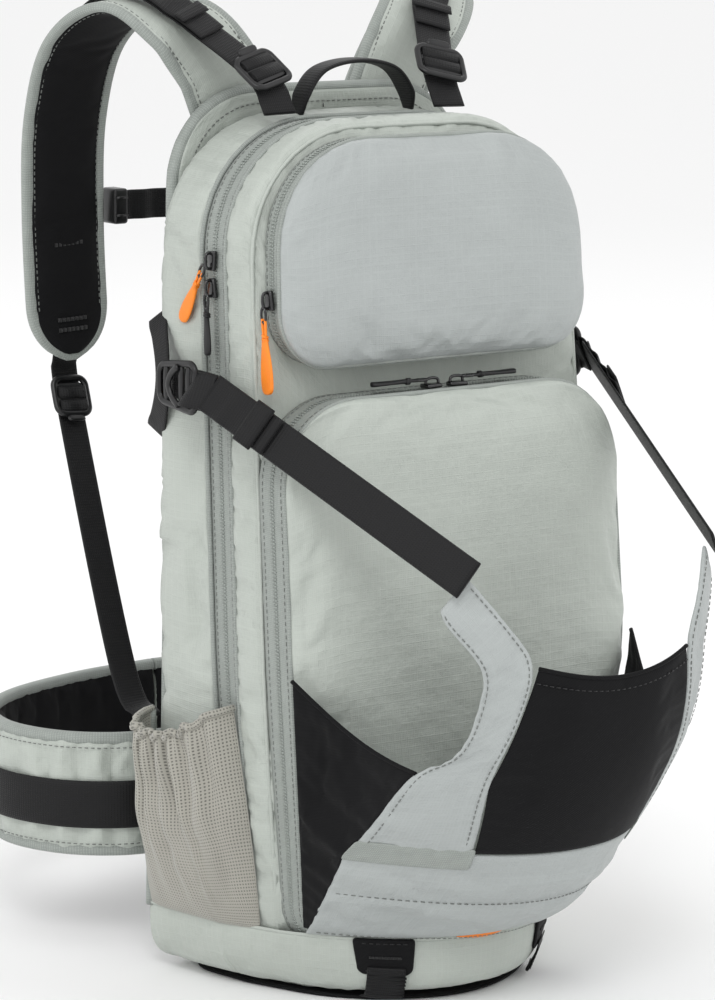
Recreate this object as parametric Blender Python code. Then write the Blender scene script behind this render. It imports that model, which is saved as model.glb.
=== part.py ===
"""Ski backpack with a helmet carrier, shoulder straps and a closed hip belt.

Metres, +Z up. The front (helmet carrier) faces -Y, the wearer's side faces +Y and +X is to the right as
seen from the front. The origin is on the flat base, under the middle of the pack.
"""

import math

import bmesh
import bpy
from mathutils import Vector

# ---- driving dimensions -------------------------------------------------------------------------------------
GAP = 0.0004  # clearance between touching pieces
WALL = 0.0024  # lined fabric
TAPE = 0.0014  # zip tape and single fabric
HEIGHT = 0.557  # top of the closed bag
BASE_HALF_WIDTH = 0.1385  # half width at the base
TAPER = 0.025  # narrowing of each side, per metre of height
BASE_CORNER = 0.035
TOP_CORNER = 0.085
BACK_Y = 0.065  # rear edge of the side walls
ZIP_HALF = 0.0135  # half the width of a zip tape
FACE_Y = -0.042  # front of the middle compartment, at LEAN_Z
LEAN = 0.08  # the front moves forward by this much for each metre down
LEAN_Z = 0.45
BACK_PANEL_TOP = 0.572
BASE_PLATE = 0.003
WEBBING = 0.025
WEBBING_THICK = 0.0018

UPPER_POCKET = {"half_low": 0.1195, "half_high": 0.114, "low": 0.408, "high": 0.5485, "r_low": 0.035, "r_high": 0.07}
LOWER_POCKET = {"half_low": 0.1335, "half_high": 0.129, "low": 0.032, "high": 0.390, "r_low": 0.03, "r_high": 0.055}
UPPER_FACE_Y = -0.057
LOWER_FACE_Y = -0.0700

CARRIER_SEAM_Z = 0.046
CARRIER_SEAM_Y = -0.1190
CARRIER_BULGE = 0.134
CARRIER_BULGE_Z = 0.26
CARRIER_HALF_WIDTH = 0.165
CARRIER_TOP_SPAN = 0.20

STRAP_WIDTH = 0.062
STRAP_THICK = 0.011
BELT_LOW = 0.066
BELT_HIGH = 0.150
BELT_THICK = 0.012

PALE = ("#B4B7AD", 0.75)
COOL_GREY = ("#A7A9AB", 0.7)
BLACK_CLOTH = ("#17171A", 0.85)
BLACK_PLASTIC = ("#0D0D0F", 0.4)
MESH_BEIGE = ("#B5AFA3", 0.9)
ORANGE = ("#F08A1D", 0.55)
FOAM = ("#303236", 0.95)
SIDES = (("left", -1), ("right", 1))


# ---- helpers ------------------------------------------------------------------------------------------------
def clear_scene():
    for old in list(bpy.data.objects):
        bpy.data.objects.remove(old, do_unlink=True)


def linear(hex_colour):
    channels = [int(hex_colour[i : i + 2], 16) / 255 for i in (1, 3, 5)]
    return [c / 12.92 if c <= 0.04045 else ((c + 0.055) / 1.055) ** 2.4 for c in channels]


def material(name, finish, metallic=0.0):
    mat = bpy.data.materials.new(name)
    mat.use_nodes = True
    shader = mat.node_tree.nodes["Principled BSDF"]
    shader.inputs["Base Color"].default_value = (*linear(finish[0]), 1.0)
    shader.inputs["Roughness"].default_value = finish[1]
    shader.inputs["Metallic"].default_value = metallic
    return mat


def add_object(name, bm, finish, pivot=(0, 0, 0), parent=None):
    """Turns a closed bmesh into an object whose origin is at pivot, in the pack's frame."""
    bmesh.ops.remove_doubles(bm, verts=bm.verts, dist=1e-6)
    bmesh.ops.recalc_face_normals(bm, faces=bm.faces)
    bmesh.ops.translate(bm, verts=bm.verts, vec=-Vector(pivot))
    mesh = bpy.data.meshes.new(name)
    bm.to_mesh(mesh)
    bm.free()
    mesh.shade_smooth()
    mesh.set_sharp_from_angle(angle=math.radians(40))
    mesh.materials.append(material(name, finish))
    obj = bpy.data.objects.new(name, mesh)
    bpy.context.scene.collection.objects.link(obj)
    obj.location = Vector(pivot)
    if parent is not None:
        obj.parent = parent
        obj.location -= parent.location
    return obj


def loft(bm, rings, closed=False):
    """Joins rings of equal length with faces, in order; an open loft is capped at both ends."""
    loops = [[bm.verts.new(p) for p in ring] for ring in rings]
    pairs = list(zip(loops, loops[1:]))
    if closed:
        pairs.append((loops[-1], loops[0]))
    for first, second in pairs:
        for i in range(len(first)):
            bm.faces.new((first[i - 1], first[i], second[i], second[i - 1]))
    if not closed:
        bm.faces.new(loops[0])
        bm.faces.new(loops[-1])


def smooth_path(points, per_span=4):
    """A Catmull-Rom curve through the points."""
    p = [Vector(q) for q in points]
    p = [2 * p[0] - p[1]] + p + [2 * p[-1] - p[-2]]
    out = []
    for i in range(1, len(p) - 2):
        for k in range(per_span):
            t = k / per_span
            a, b, c, d = p[i - 1], p[i], p[i + 1], p[i + 2]
            out.append(
                0.5 * (2 * b + (c - a) * t + (2 * a - 5 * b + 4 * c - d) * t * t + (3 * b - a - 3 * c + d) * t**3)
            )
    out.append(p[-2])
    return out


def frames(path, side_hint):
    """(point, side, normal) along a path; side is the hint made square to the path."""
    out = []
    for i, point in enumerate(path):
        tangent = (path[min(i + 1, len(path) - 1)] - path[max(i - 1, 0)]).normalized()
        side = (side_hint - tangent * side_hint.dot(tangent)).normalized()
        out.append((point, side, tangent.cross(side).normalized()))
    return out


def strip(bm, stations, width, thickness, edge=0.0):
    """A flat strap through (point, side, normal) stations. edge rounds its long edges, for padding."""
    w, t = width / 2, thickness / 2
    if edge:
        section = [(-w, -t / 3), (-w, t / 3), (-w + edge, t), (w - edge, t)]
        section += [(w, t / 3), (w, -t / 3), (w - edge, -t), (-w + edge, -t)]
    else:
        section = [(-w, -t), (-w, t), (w, t), (w, -t)]
    loft(bm, [[p + s * a + n * b for a, b in section] for p, s, n in stations])


def block(bm, low, high, bevel=0.0):
    """A box between two corners, with its edges bevelled."""
    low, high = Vector(low), Vector(high)
    made = bmesh.ops.create_cube(bm, size=1.0)["verts"]
    bmesh.ops.scale(bm, verts=made, vec=high - low)
    bmesh.ops.translate(bm, verts=made, vec=(low + high) / 2)
    if bevel:
        edges = {e for v in made for e in v.link_edges}
        bmesh.ops.bevel(bm, geom=list(edges), offset=bevel, segments=1, profile=0.5, affect="EDGES", material=-1)


def rounded(corners, steps=5):
    """The outline of a polygon whose corners (x, z, radius) are filleted with arcs, as (x, z) points."""
    out = []
    count = len(corners)
    for i, (x, z, radius) in enumerate(corners):
        here = Vector((x, z))
        to_last = (Vector(corners[i - 1][:2]) - here).normalized()
        to_next = (Vector(corners[(i + 1) % count][:2]) - here).normalized()
        half_angle = to_last.angle(to_next) / 2
        centre = here + (to_last + to_next).normalized() * radius / math.sin(half_angle)
        start = here + to_last * radius / math.tan(half_angle) - centre
        end = here + to_next * radius / math.tan(half_angle) - centre
        turn = start.angle(end)
        for k in range(steps + 1):
            f = k / steps
            point = (start * math.sin((1 - f) * turn) + end * math.sin(f * turn)) / math.sin(turn)
            out.append((centre.x + point.x, centre.y + point.y))
    return out


def upright_outline(half_low, half_high, low, high, r_low, r_high, inset=0.0):
    """A tapering upright rectangle with rounded corners, drawn inset from its edge."""
    a, b = max(r_low - inset, 0.004), max(r_high - inset, 0.004)
    low, high = low + inset, high - inset
    half_low, half_high = half_low - inset, half_high - inset
    return rounded([(-half_low, low, a), (half_low, low, a), (half_high, high, b), (-half_high, high, b)])


def half_width(z):
    return BASE_HALF_WIDTH - TAPER * z


def body_outline(inset=0.0):
    low = BASE_PLATE + GAP
    return upright_outline(half_width(low), half_width(HEIGHT), low, HEIGHT, BASE_CORNER, TOP_CORNER, inset)


def lean(y, z):
    """The front half leans: low points stand further forward; the back edge stays upright."""
    share = min(1.0, (BACK_Y - y) / (BACK_Y - ZIP_HALF))
    return y + LEAN * (z - LEAN_Z) * share


def ring(outline, y):
    return [Vector((x, lean(y, z), z)) for x, z in outline]


def domed_rings(outline, centre, y_edge, bulge, steps, reach=0.72):
    """Rings that shrink towards a centre while they rise forward, as a stuffed panel does."""
    rings = []
    for k in range(1, steps + 1):
        angle = k / steps * math.pi / 2
        scale = 1 - reach * (1 - math.cos(angle))
        y = y_edge - bulge * math.sin(angle)
        shrunk = [(centre[0] + (x - centre[0]) * scale, centre[1] + (z - centre[1]) * scale) for x, z in outline]
        rings.append(ring(shrunk, y))
    return rings


# ---- closed bag ---------------------------------------------------------------------------------------------
def compartment(name, open_y, shut_y, edge_radius):
    """A fabric tray: side walls from open_y to a closed face at shut_y, with a rounded edge."""
    sign = 1 if shut_y > open_y else -1
    bends = [math.radians(a) for a in (0, 30, 60, 90)]

    def skin(inset, y_end, radius):
        corner = y_end - sign * radius
        return [
            ring(body_outline(inset + radius * (1 - math.cos(a))), corner + sign * radius * math.sin(a)) for a in bends
        ]

    outer = [ring(body_outline(0.0), open_y)] + skin(0.0, shut_y, edge_radius)
    inner = [ring(body_outline(WALL), open_y)] + skin(WALL, shut_y - sign * WALL, edge_radius - WALL)
    bm = bmesh.new()
    loft(bm, list(reversed(inner)) + outer)
    return add_object(name, bm, PALE)


def make_main_zip():
    rear, front = ZIP_HALF - GAP, -ZIP_HALF + GAP
    bm = bmesh.new()
    outer, inner = body_outline(0.0008), body_outline(0.0008 + TAPE)
    loft(bm, [ring(outer, rear), ring(outer, front), ring(inner, front), ring(inner, rear)], closed=True)
    add_object("main_zip", bm, COOL_GREY)


def pocket(name, sizes, face_y, bulge, colour):
    """A raised front pocket: a zip strip standing off the face, and a domed panel on it."""
    start = FACE_Y - GAP
    outline = upright_outline(**sizes)
    inner = upright_outline(**sizes, inset=TAPE)
    bm = bmesh.new()
    loops = [ring(outline, start), ring(outline, face_y), ring(inner, face_y), ring(inner, start)]
    loft(bm, loops, closed=True)
    add_object(name + "_zip", bm, COOL_GREY)

    centre = (0.0, (sizes["low"] + sizes["high"]) / 2)
    edge = face_y - GAP
    outer = [ring(outline, edge), ring(outline, edge - 0.002)]
    outer += domed_rings(outline, centre, edge - 0.002, bulge, 4)
    back = [ring(inner, edge)] + domed_rings(inner, centre, edge, bulge, 4)
    bm = bmesh.new()
    loft(bm, list(reversed(back)) + outer)
    add_object(name, bm, colour)


def make_base_panel():
    x, rear, front = 0.122, 0.060, -0.100
    outline = rounded([(-x, front, 0.03), (x, front, 0.03), (x, rear, 0.03), (-x, rear, 0.03)])
    bm = bmesh.new()
    loft(bm, [[Vector((a, b, z)) for a, b in outline] for z in (0.0, BASE_PLATE)])
    add_object("base_panel", bm, BLACK_CLOTH)


def upright_pad(name, corners, y_low, y_high, crown, colour):
    """A pad standing against the back: an outline with rounded corners, crowned on the wearer's side."""
    outline = rounded(corners, steps=4)
    cx = sum(c[0] for c in corners) / len(corners)
    cz = sum(c[1] for c in corners) / len(corners)

    def level(scale, y):
        return [Vector((cx + (x - cx) * scale, y, cz + (z - cz) * scale)) for x, z in outline]

    bm = bmesh.new()
    loft(bm, [level(1, y_low), level(1, y_high - crown), level(0.96, y_high - crown * 0.4), level(0.85, y_high)])
    return add_object(name, bm, colour)


def make_back():
    back = BACK_Y + GAP
    upright_pad(
        "back_panel",
        [(-0.124, 0.012, 0.03), (0.124, 0.012, 0.03), (0.112, BACK_PANEL_TOP, 0.06), (-0.112, BACK_PANEL_TOP, 0.06)],
        back,
        back + 0.009,
        0.002,
        PALE,
    )
    pad_back = back + 0.009 + GAP
    for side, s in SIDES:
        inner, outer = s * 0.018, s * 0.100
        corners = [(inner, 0.035, 0.015), (outer, 0.035, 0.03), (outer, 0.50, 0.03), (inner, 0.50, 0.015)]
        if s < 0:
            corners.reverse()
        upright_pad("back_pad_" + side, corners, pad_back, pad_back + 0.012, 0.004, FOAM)
    plate = rounded([(-0.095, 0.03, 0.03), (0.095, 0.03, 0.03), (0.09, 0.50, 0.05), (-0.09, 0.50, 0.05)], steps=3)
    bm = bmesh.new()
    loft(bm, [[Vector((x, y, z)) for x, z in plate] for y in (0.042, 0.060)])
    add_object("back_protector", bm, ORANGE)


def make_rain_cover():
    bm = bmesh.new()
    block(bm, (-0.085, -0.060, 0.010), (0.085, -0.004, 0.032), 0.006)
    add_object("rain_cover", bm, ORANGE)


def make_bottle_pockets():
    """Mesh pouches on the side walls, bulging sideways and open at the top."""
    rows, columns = 7, 10
    for side, s in SIDES:
        outer_rows, inner_rows = [], []
        for r in range(rows + 1):
            f = r / rows
            outer, inner = [], []
            for c in range(columns + 1):
                g = c / columns
                front = -0.058
                y = front + (0.063 - front) * g
                top = 0.208 - 0.040 * g
                z = 0.040 + (top - 0.040) * f
                fullness = (1 - (2 * g - 1) ** 4) ** 0.6 * (0.25 + 0.75 * min(1.0, f / 0.45) ** 0.6)
                x = half_width(z) + 0.0008 + 0.030 * fullness
                outer.append(Vector((s * (x + 0.0016), y, z)))
                inner.append(Vector((s * x, y, z)))
            outer_rows.append(outer)
            inner_rows.append(inner)
        bm = bmesh.new()
        loft(bm, [o + list(reversed(i)) for o, i in zip(outer_rows, inner_rows)])
        add_object("bottle_pocket_" + side, bm, MESH_BEIGE)


# ---- shoulder harness ---------------------------------------------------------------------------------------
def shoulder_stations(s):
    route = [
        (0.058, 0.0815, 0.556),
        (0.074, 0.0815, 0.590),
        (0.098, 0.0910, 0.615),
        (0.120, 0.1150, 0.624),
        (0.128, 0.1550, 0.600),
        (0.125, 0.1850, 0.550),
        (0.119, 0.2000, 0.490),
        (0.115, 0.2040, 0.430),
        (0.113, 0.2020, 0.390),
    ]
    return frames(smooth_path([(s * x, y, z) for x, y, z in route], 3), Vector((s, 0, 0)))


def outward(normal, reference):
    return normal if normal.dot(reference) > 0 else -normal


def ladder_lock(name, point, along, side, normal, width, length, colour=BLACK_PLASTIC, pivot=None):
    """A three-bar webbing buckle: a plate with two slots, lying on its webbing."""
    bm = bmesh.new()
    along, side, normal = along.normalized(), side.normalized(), normal.normalized()
    w, h, t = width / 2, length / 2, 0.0036
    rim, slot = 0.0035, 0.0045

    def corner(a, b, c):
        return point + along * a + side * b + normal * c

    def bar(a0, a1, b0, b1):
        loft(bm, [[corner(a, b0, 0), corner(a, b1, 0), corner(a, b1, t), corner(a, b0, t)] for a in (a0, a1)])

    outline = [(-h, -w), (h, -w), (h, w), (-h, w)]
    holes = [(-slot / 2 - rim - slot, -slot / 2 - rim), (slot / 2 + rim, slot / 2 + rim + slot)]
    stops = [-h, *holes[0], *holes[1], h]
    across = [-w, -w + rim, w - rim, w]
    grid = {}
    for i, a in enumerate(stops):
        for j, b in enumerate(across):
            for k, c in enumerate((0.0, t)):
                grid[i, j, k] = bm.verts.new(corner(a, b, c))
    solid = {(i, j) for i in range(len(stops) - 1) for j in range(3)} - {(1, 1), (3, 1)}
    for i, j in solid:
        for k in (0, 1):
            bm.faces.new([grid[i, j, k], grid[i + 1, j, k], grid[i + 1, j + 1, k], grid[i, j + 1, k]])
        sides = {(i - 1, j): ((i, j), (i, j + 1)), (i + 1, j): ((i + 1, j), (i + 1, j + 1))}
        sides |= {(i, j - 1): ((i, j), (i + 1, j)), (i, j + 1): ((i, j + 1), (i + 1, j + 1))}
        for other, (p, q) in sides.items():
            if other not in solid:
                bm.faces.new([grid[(*p, 0)], grid[(*q, 0)], grid[(*q, 1)], grid[(*p, 1)]])
    return add_object(name, bm, colour, pivot if pivot is not None else point - along * h)


def make_shoulder_harness():
    for side, s in SIDES:
        stations = shoulder_stations(s)
        bm = bmesh.new()
        strip(bm, stations, STRAP_WIDTH, STRAP_THICK, edge=0.006)
        add_object("shoulder_strap_" + side, bm, PALE)

        lift = STRAP_THICK / 2 + WEBBING_THICK / 2 + 0.001
        over = []
        for p, side_vector, n in stations[6:12]:
            n = outward(n, Vector((0, -0.4, 1)))
            over.append((p + n * (lift + 0.004), side_vector, n))
        rise = [Vector((s * 0.0665, 0.0165, 0.5600)), Vector((s * 0.070, 0.034, 0.5840)), over[0][0]]
        load = frames(smooth_path(rise, 3), Vector((s, 0, 0)))[:-1]
        load = [(p, v, outward(n, Vector((0, -1, 1)))) for p, v, n in load] + over
        bm = bmesh.new()
        strip(bm, load, WEBBING, WEBBING_THICK)
        add_object("load_webbing_" + side, bm, BLACK_CLOTH)
        point, across, normal = load[3]
        along = (load[4][0] - load[2][0]).normalized()
        ladder_lock("load_buckle_" + side, point + normal * 0.0022, along, across, normal, 0.034, 0.028)

        under = [p + outward(n, Vector((0, 1, 0))) * lift for p, _, n in (stations[-3], stations[-1])]
        below = under[-1] + Vector((0, -0.003, -0.030))
        corner = Vector((s * 0.127, 0.116, 0.190))
        anchor = Vector((s * 0.1265, 0.0830, 0.1640))
        route = [*under, below, corner, anchor]
        lower = frames(smooth_path(route, 3), Vector((s, 0, 0)))
        bm = bmesh.new()
        strip(bm, lower, 0.020, WEBBING_THICK)
        add_object("adjust_webbing_" + side, bm, BLACK_CLOTH)
        point, across, normal = lower[6]
        along = (lower[7][0] - lower[5][0]).normalized()
        normal = outward(normal, Vector((0, -1, 0)))
        ladder_lock("adjust_buckle_" + side, point + normal * 0.0022, along, across, normal, 0.028, 0.028)


def make_sternum_strap():
    y, z = 0.1985, 0.489
    clip, half = 0.0793, 0.0055
    for side, s in SIDES:
        bm = bmesh.new()
        block(bm, (s * clip - half, y - 0.009, z - 0.012), (s * clip + half, y + 0.009, z + 0.012), 0.002)
        add_object("sternum_slider_" + side, bm, BLACK_PLASTIC)
        bm = bmesh.new()
        ends = sorted((s * 0.0262, s * (clip - half - GAP)))
        block(bm, (ends[0], y - 0.001, z - 0.010), (ends[1], y + 0.001, z + 0.010))
        add_object("sternum_webbing_" + side, bm, BLACK_CLOTH)
    bm = bmesh.new()
    block(bm, (-0.0258, y - 0.005, z - 0.014), (0.0258, y + 0.005, z + 0.014), 0.003)
    add_object("sternum_buckle", bm, BLACK_PLASTIC)


def make_grab_handle():
    """A webbing loop; its feet are narrow, so it folds both ways without meeting the bag."""
    hinge = Vector((0, 0.030, 0.5615))
    half = 0.040
    route = [(-1, 0), (-0.98, 0.016), (-0.70, 0.034), (0, 0.041), (0.70, 0.034), (0.98, 0.016), (1, 0)]
    path = smooth_path([hinge + Vector((x * half, 0, z)) for x, z in route], 3)
    bm = bmesh.new()
    rings = []
    for point, side, normal in frames(path, Vector((0, 1, 0))):
        w = 0.004 + 0.006 * min(1.0, (point.z - hinge.z) / 0.014)
        rings.append([point + side * a + normal * b for a, b in ((-w, -0.0015), (-w, 0.0015), (w, 0.0015), (w, -0.0015))])
    loft(bm, rings)
    add_object("grab_handle", bm, BLACK_CLOTH, pivot=hinge)


# ---- hip belt -----------------------------------------------------------------------------------------------
def make_hip_belt():
    for side, s in SIDES:
        route = [
            (0.096, 0.0985),
            (0.135, 0.106),
            (0.166, 0.134),
            (0.180, 0.178),
            (0.166, 0.226),
            (0.128, 0.260),
            (0.062, 0.281),
            (0.0008, 0.286),
        ]
        middle = (BELT_LOW + BELT_HIGH) / 2
        path = smooth_path([(s * x, y, middle) for x, y in route], 3)
        bm = bmesh.new()
        strip(bm, frames(path, Vector((0, 0, 1))), BELT_HIGH - BELT_LOW, BELT_THICK, edge=0.005)
        add_object("hip_wing_" + side, bm, PALE, pivot=(s * 0.096, 0.0985, middle))
    bm = bmesh.new()
    outer = 0.286 + BELT_THICK / 2 + 0.001
    block(bm, (-0.045, outer, 0.072), (0.045, outer + 0.003, 0.144), 0.001)
    add_object("belt_closure", bm, BLACK_CLOTH, pivot=(-0.096, 0.0985, 0.108))


# ---- helmet carrier -----------------------------------------------------------------------------------------
def carrier_y(x, z):
    """The carrier's surface: a basin that bulges forward, as it does round a helmet."""
    span = CARRIER_BULGE_Z - CARRIER_SEAM_Z if z < CARRIER_BULGE_Z else CARRIER_TOP_SPAN
    rise = max(0.0, 1 - ((CARRIER_BULGE_Z - z) / span) ** 2) ** 0.65
    return CARRIER_SEAM_Y - CARRIER_BULGE * rise * max(0.0, 1 - (abs(x) / CARRIER_HALF_WIDTH) ** 2.4)


def carrier_normal(x, z):
    step = 0.0005
    slope_x = (carrier_y(x + step, z) - carrier_y(x - step, z)) / (2 * step)
    slope_z = (carrier_y(x, z + step) - carrier_y(x, max(z - step, CARRIER_SEAM_Z))) / (2 * step)
    return Vector((slope_x, -1, slope_z)).normalized()


def at(table, z):
    """Linear interpolation in a list of (z, value) pairs."""
    for (z0, v0), (z1, v1) in zip(table, table[1:]):
        if z <= z1:
            return v0 + (v1 - v0) * (z - z0) / (z1 - z0)
    return table[-1][1]


ARM_OUTER = [
    (0.046, 0.139),
    (0.114, 0.131),
    (0.131, 0.125),
    (0.168, 0.115),
    (0.179, 0.110),
    (0.187, 0.096),
    (0.200, 0.090),
    (0.237, 0.084),
    (0.250, 0.087),
    (0.273, 0.103),
    (0.282, 0.1045),
    (0.302, 0.0990),
]
ARM_INNER = [
    (0.046, 0.073),
    (0.122, 0.073),
    (0.171, 0.076),
    (0.203, 0.068),
    (0.249, 0.057),
    (0.273, 0.073),
    (0.302, 0.092),
]
PANEL_Z = 0.121
PANEL_TOP_Z = 0.247


def carrier_patch(name, heights, left, right, columns, colour, thickness, pivot):
    """A piece of the carrier's surface between two side curves, given a thickness."""
    bm = bmesh.new()
    rings = []
    for z in heights:
        xs = [left(z) + (right(z) - left(z)) * c / columns for c in range(columns + 1)]
        front = [Vector((x, carrier_y(x, z), z)) + carrier_normal(x, z) * thickness / 2 for x in xs]
        back = [Vector((x, carrier_y(x, z), z)) - carrier_normal(x, z) * thickness / 2 for x in xs]
        rings.append(front + list(reversed(back)))
    loft(bm, rings)
    return add_object(name, bm, colour, pivot)


def make_helmet_carrier():
    hinge = Vector((0, CARRIER_SEAM_Y, CARRIER_SEAM_Z))
    steps = [CARRIER_SEAM_Z + (PANEL_Z - 0.0006 - CARRIER_SEAM_Z) * k / 6 for k in range(7)]
    carrier_patch(
        "carrier_base", steps, lambda z: -at(ARM_OUTER, z), lambda z: at(ARM_OUTER, z), 12, COOL_GREY, WALL, hinge
    )
    steps = [PANEL_Z + 0.0006 + (PANEL_TOP_Z - PANEL_Z - 0.0006) * k / 6 for k in range(7)]
    carrier_patch(
        "carrier_stretch_panel",
        steps,
        lambda z: -at(ARM_INNER, z) + 0.0008,
        lambda z: at(ARM_INNER, z) - 0.0008,
        8,
        BLACK_CLOTH,
        TAPE,
        hinge,
    )
    arm_steps = [PANEL_Z + 0.0006] + [z for z, _ in ARM_OUTER if z > PANEL_Z + 0.002]
    for side, s in SIDES:
        edges = (lambda z: at(ARM_INNER, z) * s, lambda z: at(ARM_OUTER, z) * s)
        carrier_patch("carrier_arm_" + side, arm_steps, edges[0], edges[1], 3, COOL_GREY, WALL, hinge)


def make_gussets():
    """Stretch sides that join the bag's front edge to the carrier's arms."""
    rows, columns = 6, 4
    for side, s in SIDES:
        rings = []
        for r in range(rows + 1):
            f = r / rows
            on_bag_z = 0.066 + (0.222 - 0.066) * f
            bag = Vector((s * 0.1392, -0.1075 + 0.012 * f, on_bag_z))
            arm_z = 0.066 + (0.176 - 0.066) * f
            x = at(ARM_OUTER, arm_z) + 0.0015
            arm = Vector((s * x, carrier_y(x, arm_z) + 0.003, arm_z))
            line = [bag.lerp(arm, c / columns) for c in range(columns + 1)]
            tangent = (arm - bag).normalized()
            normal = tangent.cross(Vector((0, 0, 1))).normalized() * TAPE / 2
            rings.append([p + normal for p in line] + [p - normal for p in reversed(line)])
        bm = bmesh.new()
        loft(bm, rings)
        add_object("carrier_gusset_" + side, bm, BLACK_CLOTH)


def carrier_strap_line(s):
    tip = Vector((s * 0.0975, carrier_y(0.0975, 0.304) - 0.001, 0.306))
    hook = Vector((s * 0.1490, -0.0250, 0.3950))
    return tip, hook


def make_carrier_straps():
    for side, s in SIDES:
        tip, hook = carrier_strap_line(s)
        along = (hook - tip).normalized()
        hint = Vector((s * 0.75, -0.45, 0.35))
        normal = (hint - along * hint.dot(along)).normalized()
        across = along.cross(normal)
        bm = bmesh.new()
        strip(bm, [(tip + along * d, across, normal) for d in (0.001, 0.05, 0.10, 0.15, (hook - tip).length)],
              WEBBING, WEBBING_THICK)
        add_object("carrier_strap_" + side, bm, BLACK_CLOTH)

        keeper = tip + along * ((hook - tip).length - 0.045)
        bm = bmesh.new()
        strip(bm, [(keeper + along * d + normal * 0.0024, across, normal) for d in (-0.006, 0.006)], 0.029, 0.0022)
        add_object("strap_keeper_" + side, bm, BLACK_CLOTH)

        rear = Vector((0, 1, 0))
        flat = Vector((s, 0, 0))
        start = hook + rear * 0.0080 + flat * 0.0005
        ladder_lock(
            "carrier_hook_" + side, start + rear * 0.023, rear, Vector((0, 0, 1)), flat, 0.036, 0.046, pivot=start
        )

        bm = bmesh.new()
        wall = half_width(0.395) + 0.0018
        route = [(wall, 0.050), (wall, 0.038), (wall + 0.008, 0.0265), (wall + 0.0145, 0.018), (wall + 0.0145, 0.006)]
        loop = frames(smooth_path([(s * x, y, 0.395) for x, y in route], 2), Vector((0, 0, 1)))
        strip(bm, loop, 0.020, WEBBING_THICK)
        add_object("hook_loop_" + side, bm, BLACK_CLOTH)


def make_lash_patches():
    """Trapezoid patches for tool loops, from the carrier's seam down to the base."""
    top, low = Vector((0, -0.1210, 0.0440)), Vector((0, -0.1040, 0.0045))
    normal = Vector((-1, 0, 0)).cross(top - low).normalized()
    for side, s in SIDES:
        rings = []
        for layer in (0.0, 0.0022):
            corners = ((0.022, top), (-0.022, top), (-0.012, low), (0.012, low))
            rings.append([Vector((s * 0.0780 + x, end.y, end.z)) + normal * layer for x, end in corners])
        bm = bmesh.new()
        loft(bm, rings)
        add_object("lash_patch_" + side, bm, BLACK_CLOTH)


# ---- zip sliders and pulls ----------------------------------------------------------------------------------
def zip_slider(name, centre, across, along, out, size=(0.010, 0.012, 0.0055), pivot=None):
    """The metal slider: size is across the tape, along the tape and height off it."""
    bm = bmesh.new()
    w, h, t = size[0] / 2, size[1] / 2, size[2]
    section = [(-w, -h * 0.6), (-w * 0.7, h), (w * 0.7, h), (w, -h * 0.6), (w * 0.5, -h), (-w * 0.5, -h)]
    levels = []
    for scale, rise in ((1, 0.0004), (1, t * 0.7), (0.7, t)):
        levels.append([centre + across * a * scale + along * b * scale + out * rise for a, b in section])
    loft(bm, levels)
    return add_object(name, bm, BLACK_PLASTIC, pivot if pivot is not None else centre)


def zip_pull(name, start, along, across, out, length, width, colour, parent):
    """A moulded tab on a cord: narrow at the slider and wider at its end."""
    bm = bmesh.new()
    outline = [(0.0, 0.35), (0.30, 0.35), (0.45, 0.8), (0.65, 1.0), (0.92, 0.9), (1.0, 0.45)]
    rings = []
    for f, share in outline:
        w, t = width / 2 * share, 0.0013
        middle = start + along * length * f
        rings.append([middle + across * a + out * b for a, b in ((-w, -t), (-w, t), (w, t), (w, -t))])
    loft(bm, rings)
    return add_object(name, bm, colour, start, parent)


def wall_point(s, y, z, inset=0.0):
    return Vector((s * (half_width(z) - inset), lean(y, z), z))


def make_main_sliders():
    """Two sliders meet at the top of the left side: one runs down the side, one round the top corner."""
    down = Vector((-TAPER, -LEAN, -1)).normalized()
    across = Vector((0, 1, 0))
    out = Vector((-1, 0, 0))
    corner_z = HEIGHT - TOP_CORNER
    corner_x = -(half_width(HEIGHT) - TOP_CORNER)
    centre = wall_point(-1, 0.0, corner_z, 0.0008)
    axis_point = Vector((corner_x, lean(0.0, corner_z), corner_z))
    upper = zip_slider("main_slider_upper", centre, across, -down, out, pivot=axis_point)
    slant = (down + across * 0.75).normalized()
    zip_pull("main_pull_upper", centre + out * 0.0072 + slant * 0.003, slant, slant.cross(out), out, 0.046, 0.011,
             ORANGE, upper)
    centre = wall_point(-1, 0.0, corner_z - 0.017, 0.0008)
    lower = zip_slider("main_slider_lower", centre, across, down, out)
    zip_pull("main_pull_lower", centre + out * 0.0072 + down * 0.003, down, across, out, 0.038, 0.006,
             BLACK_CLOTH, lower)


def make_upper_pocket_slider():
    z = 0.4515
    half = UPPER_POCKET["half_low"]
    rate = (UPPER_POCKET["half_low"] - UPPER_POCKET["half_high"]) / (UPPER_POCKET["high"] - UPPER_POCKET["low"])
    x = half - rate * (z - UPPER_POCKET["low"])
    up = Vector((rate, LEAN, 1)).normalized()
    out = Vector((-1, 0, 0))
    centre = Vector((-x, lean(-0.0505, z), z))
    slider = zip_slider("upper_pocket_slider", centre, Vector((0, 1, 0)), -up, out, size=(0.009, 0.011, 0.005))
    pull_down = Vector((0, -0.10, -1)).normalized()
    zip_pull("upper_pocket_pull", centre + out * 0.0068 - up * 0.003, pull_down, Vector((0, 1, 0)), out, 0.055,
             0.013, ORANGE, slider)


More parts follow.
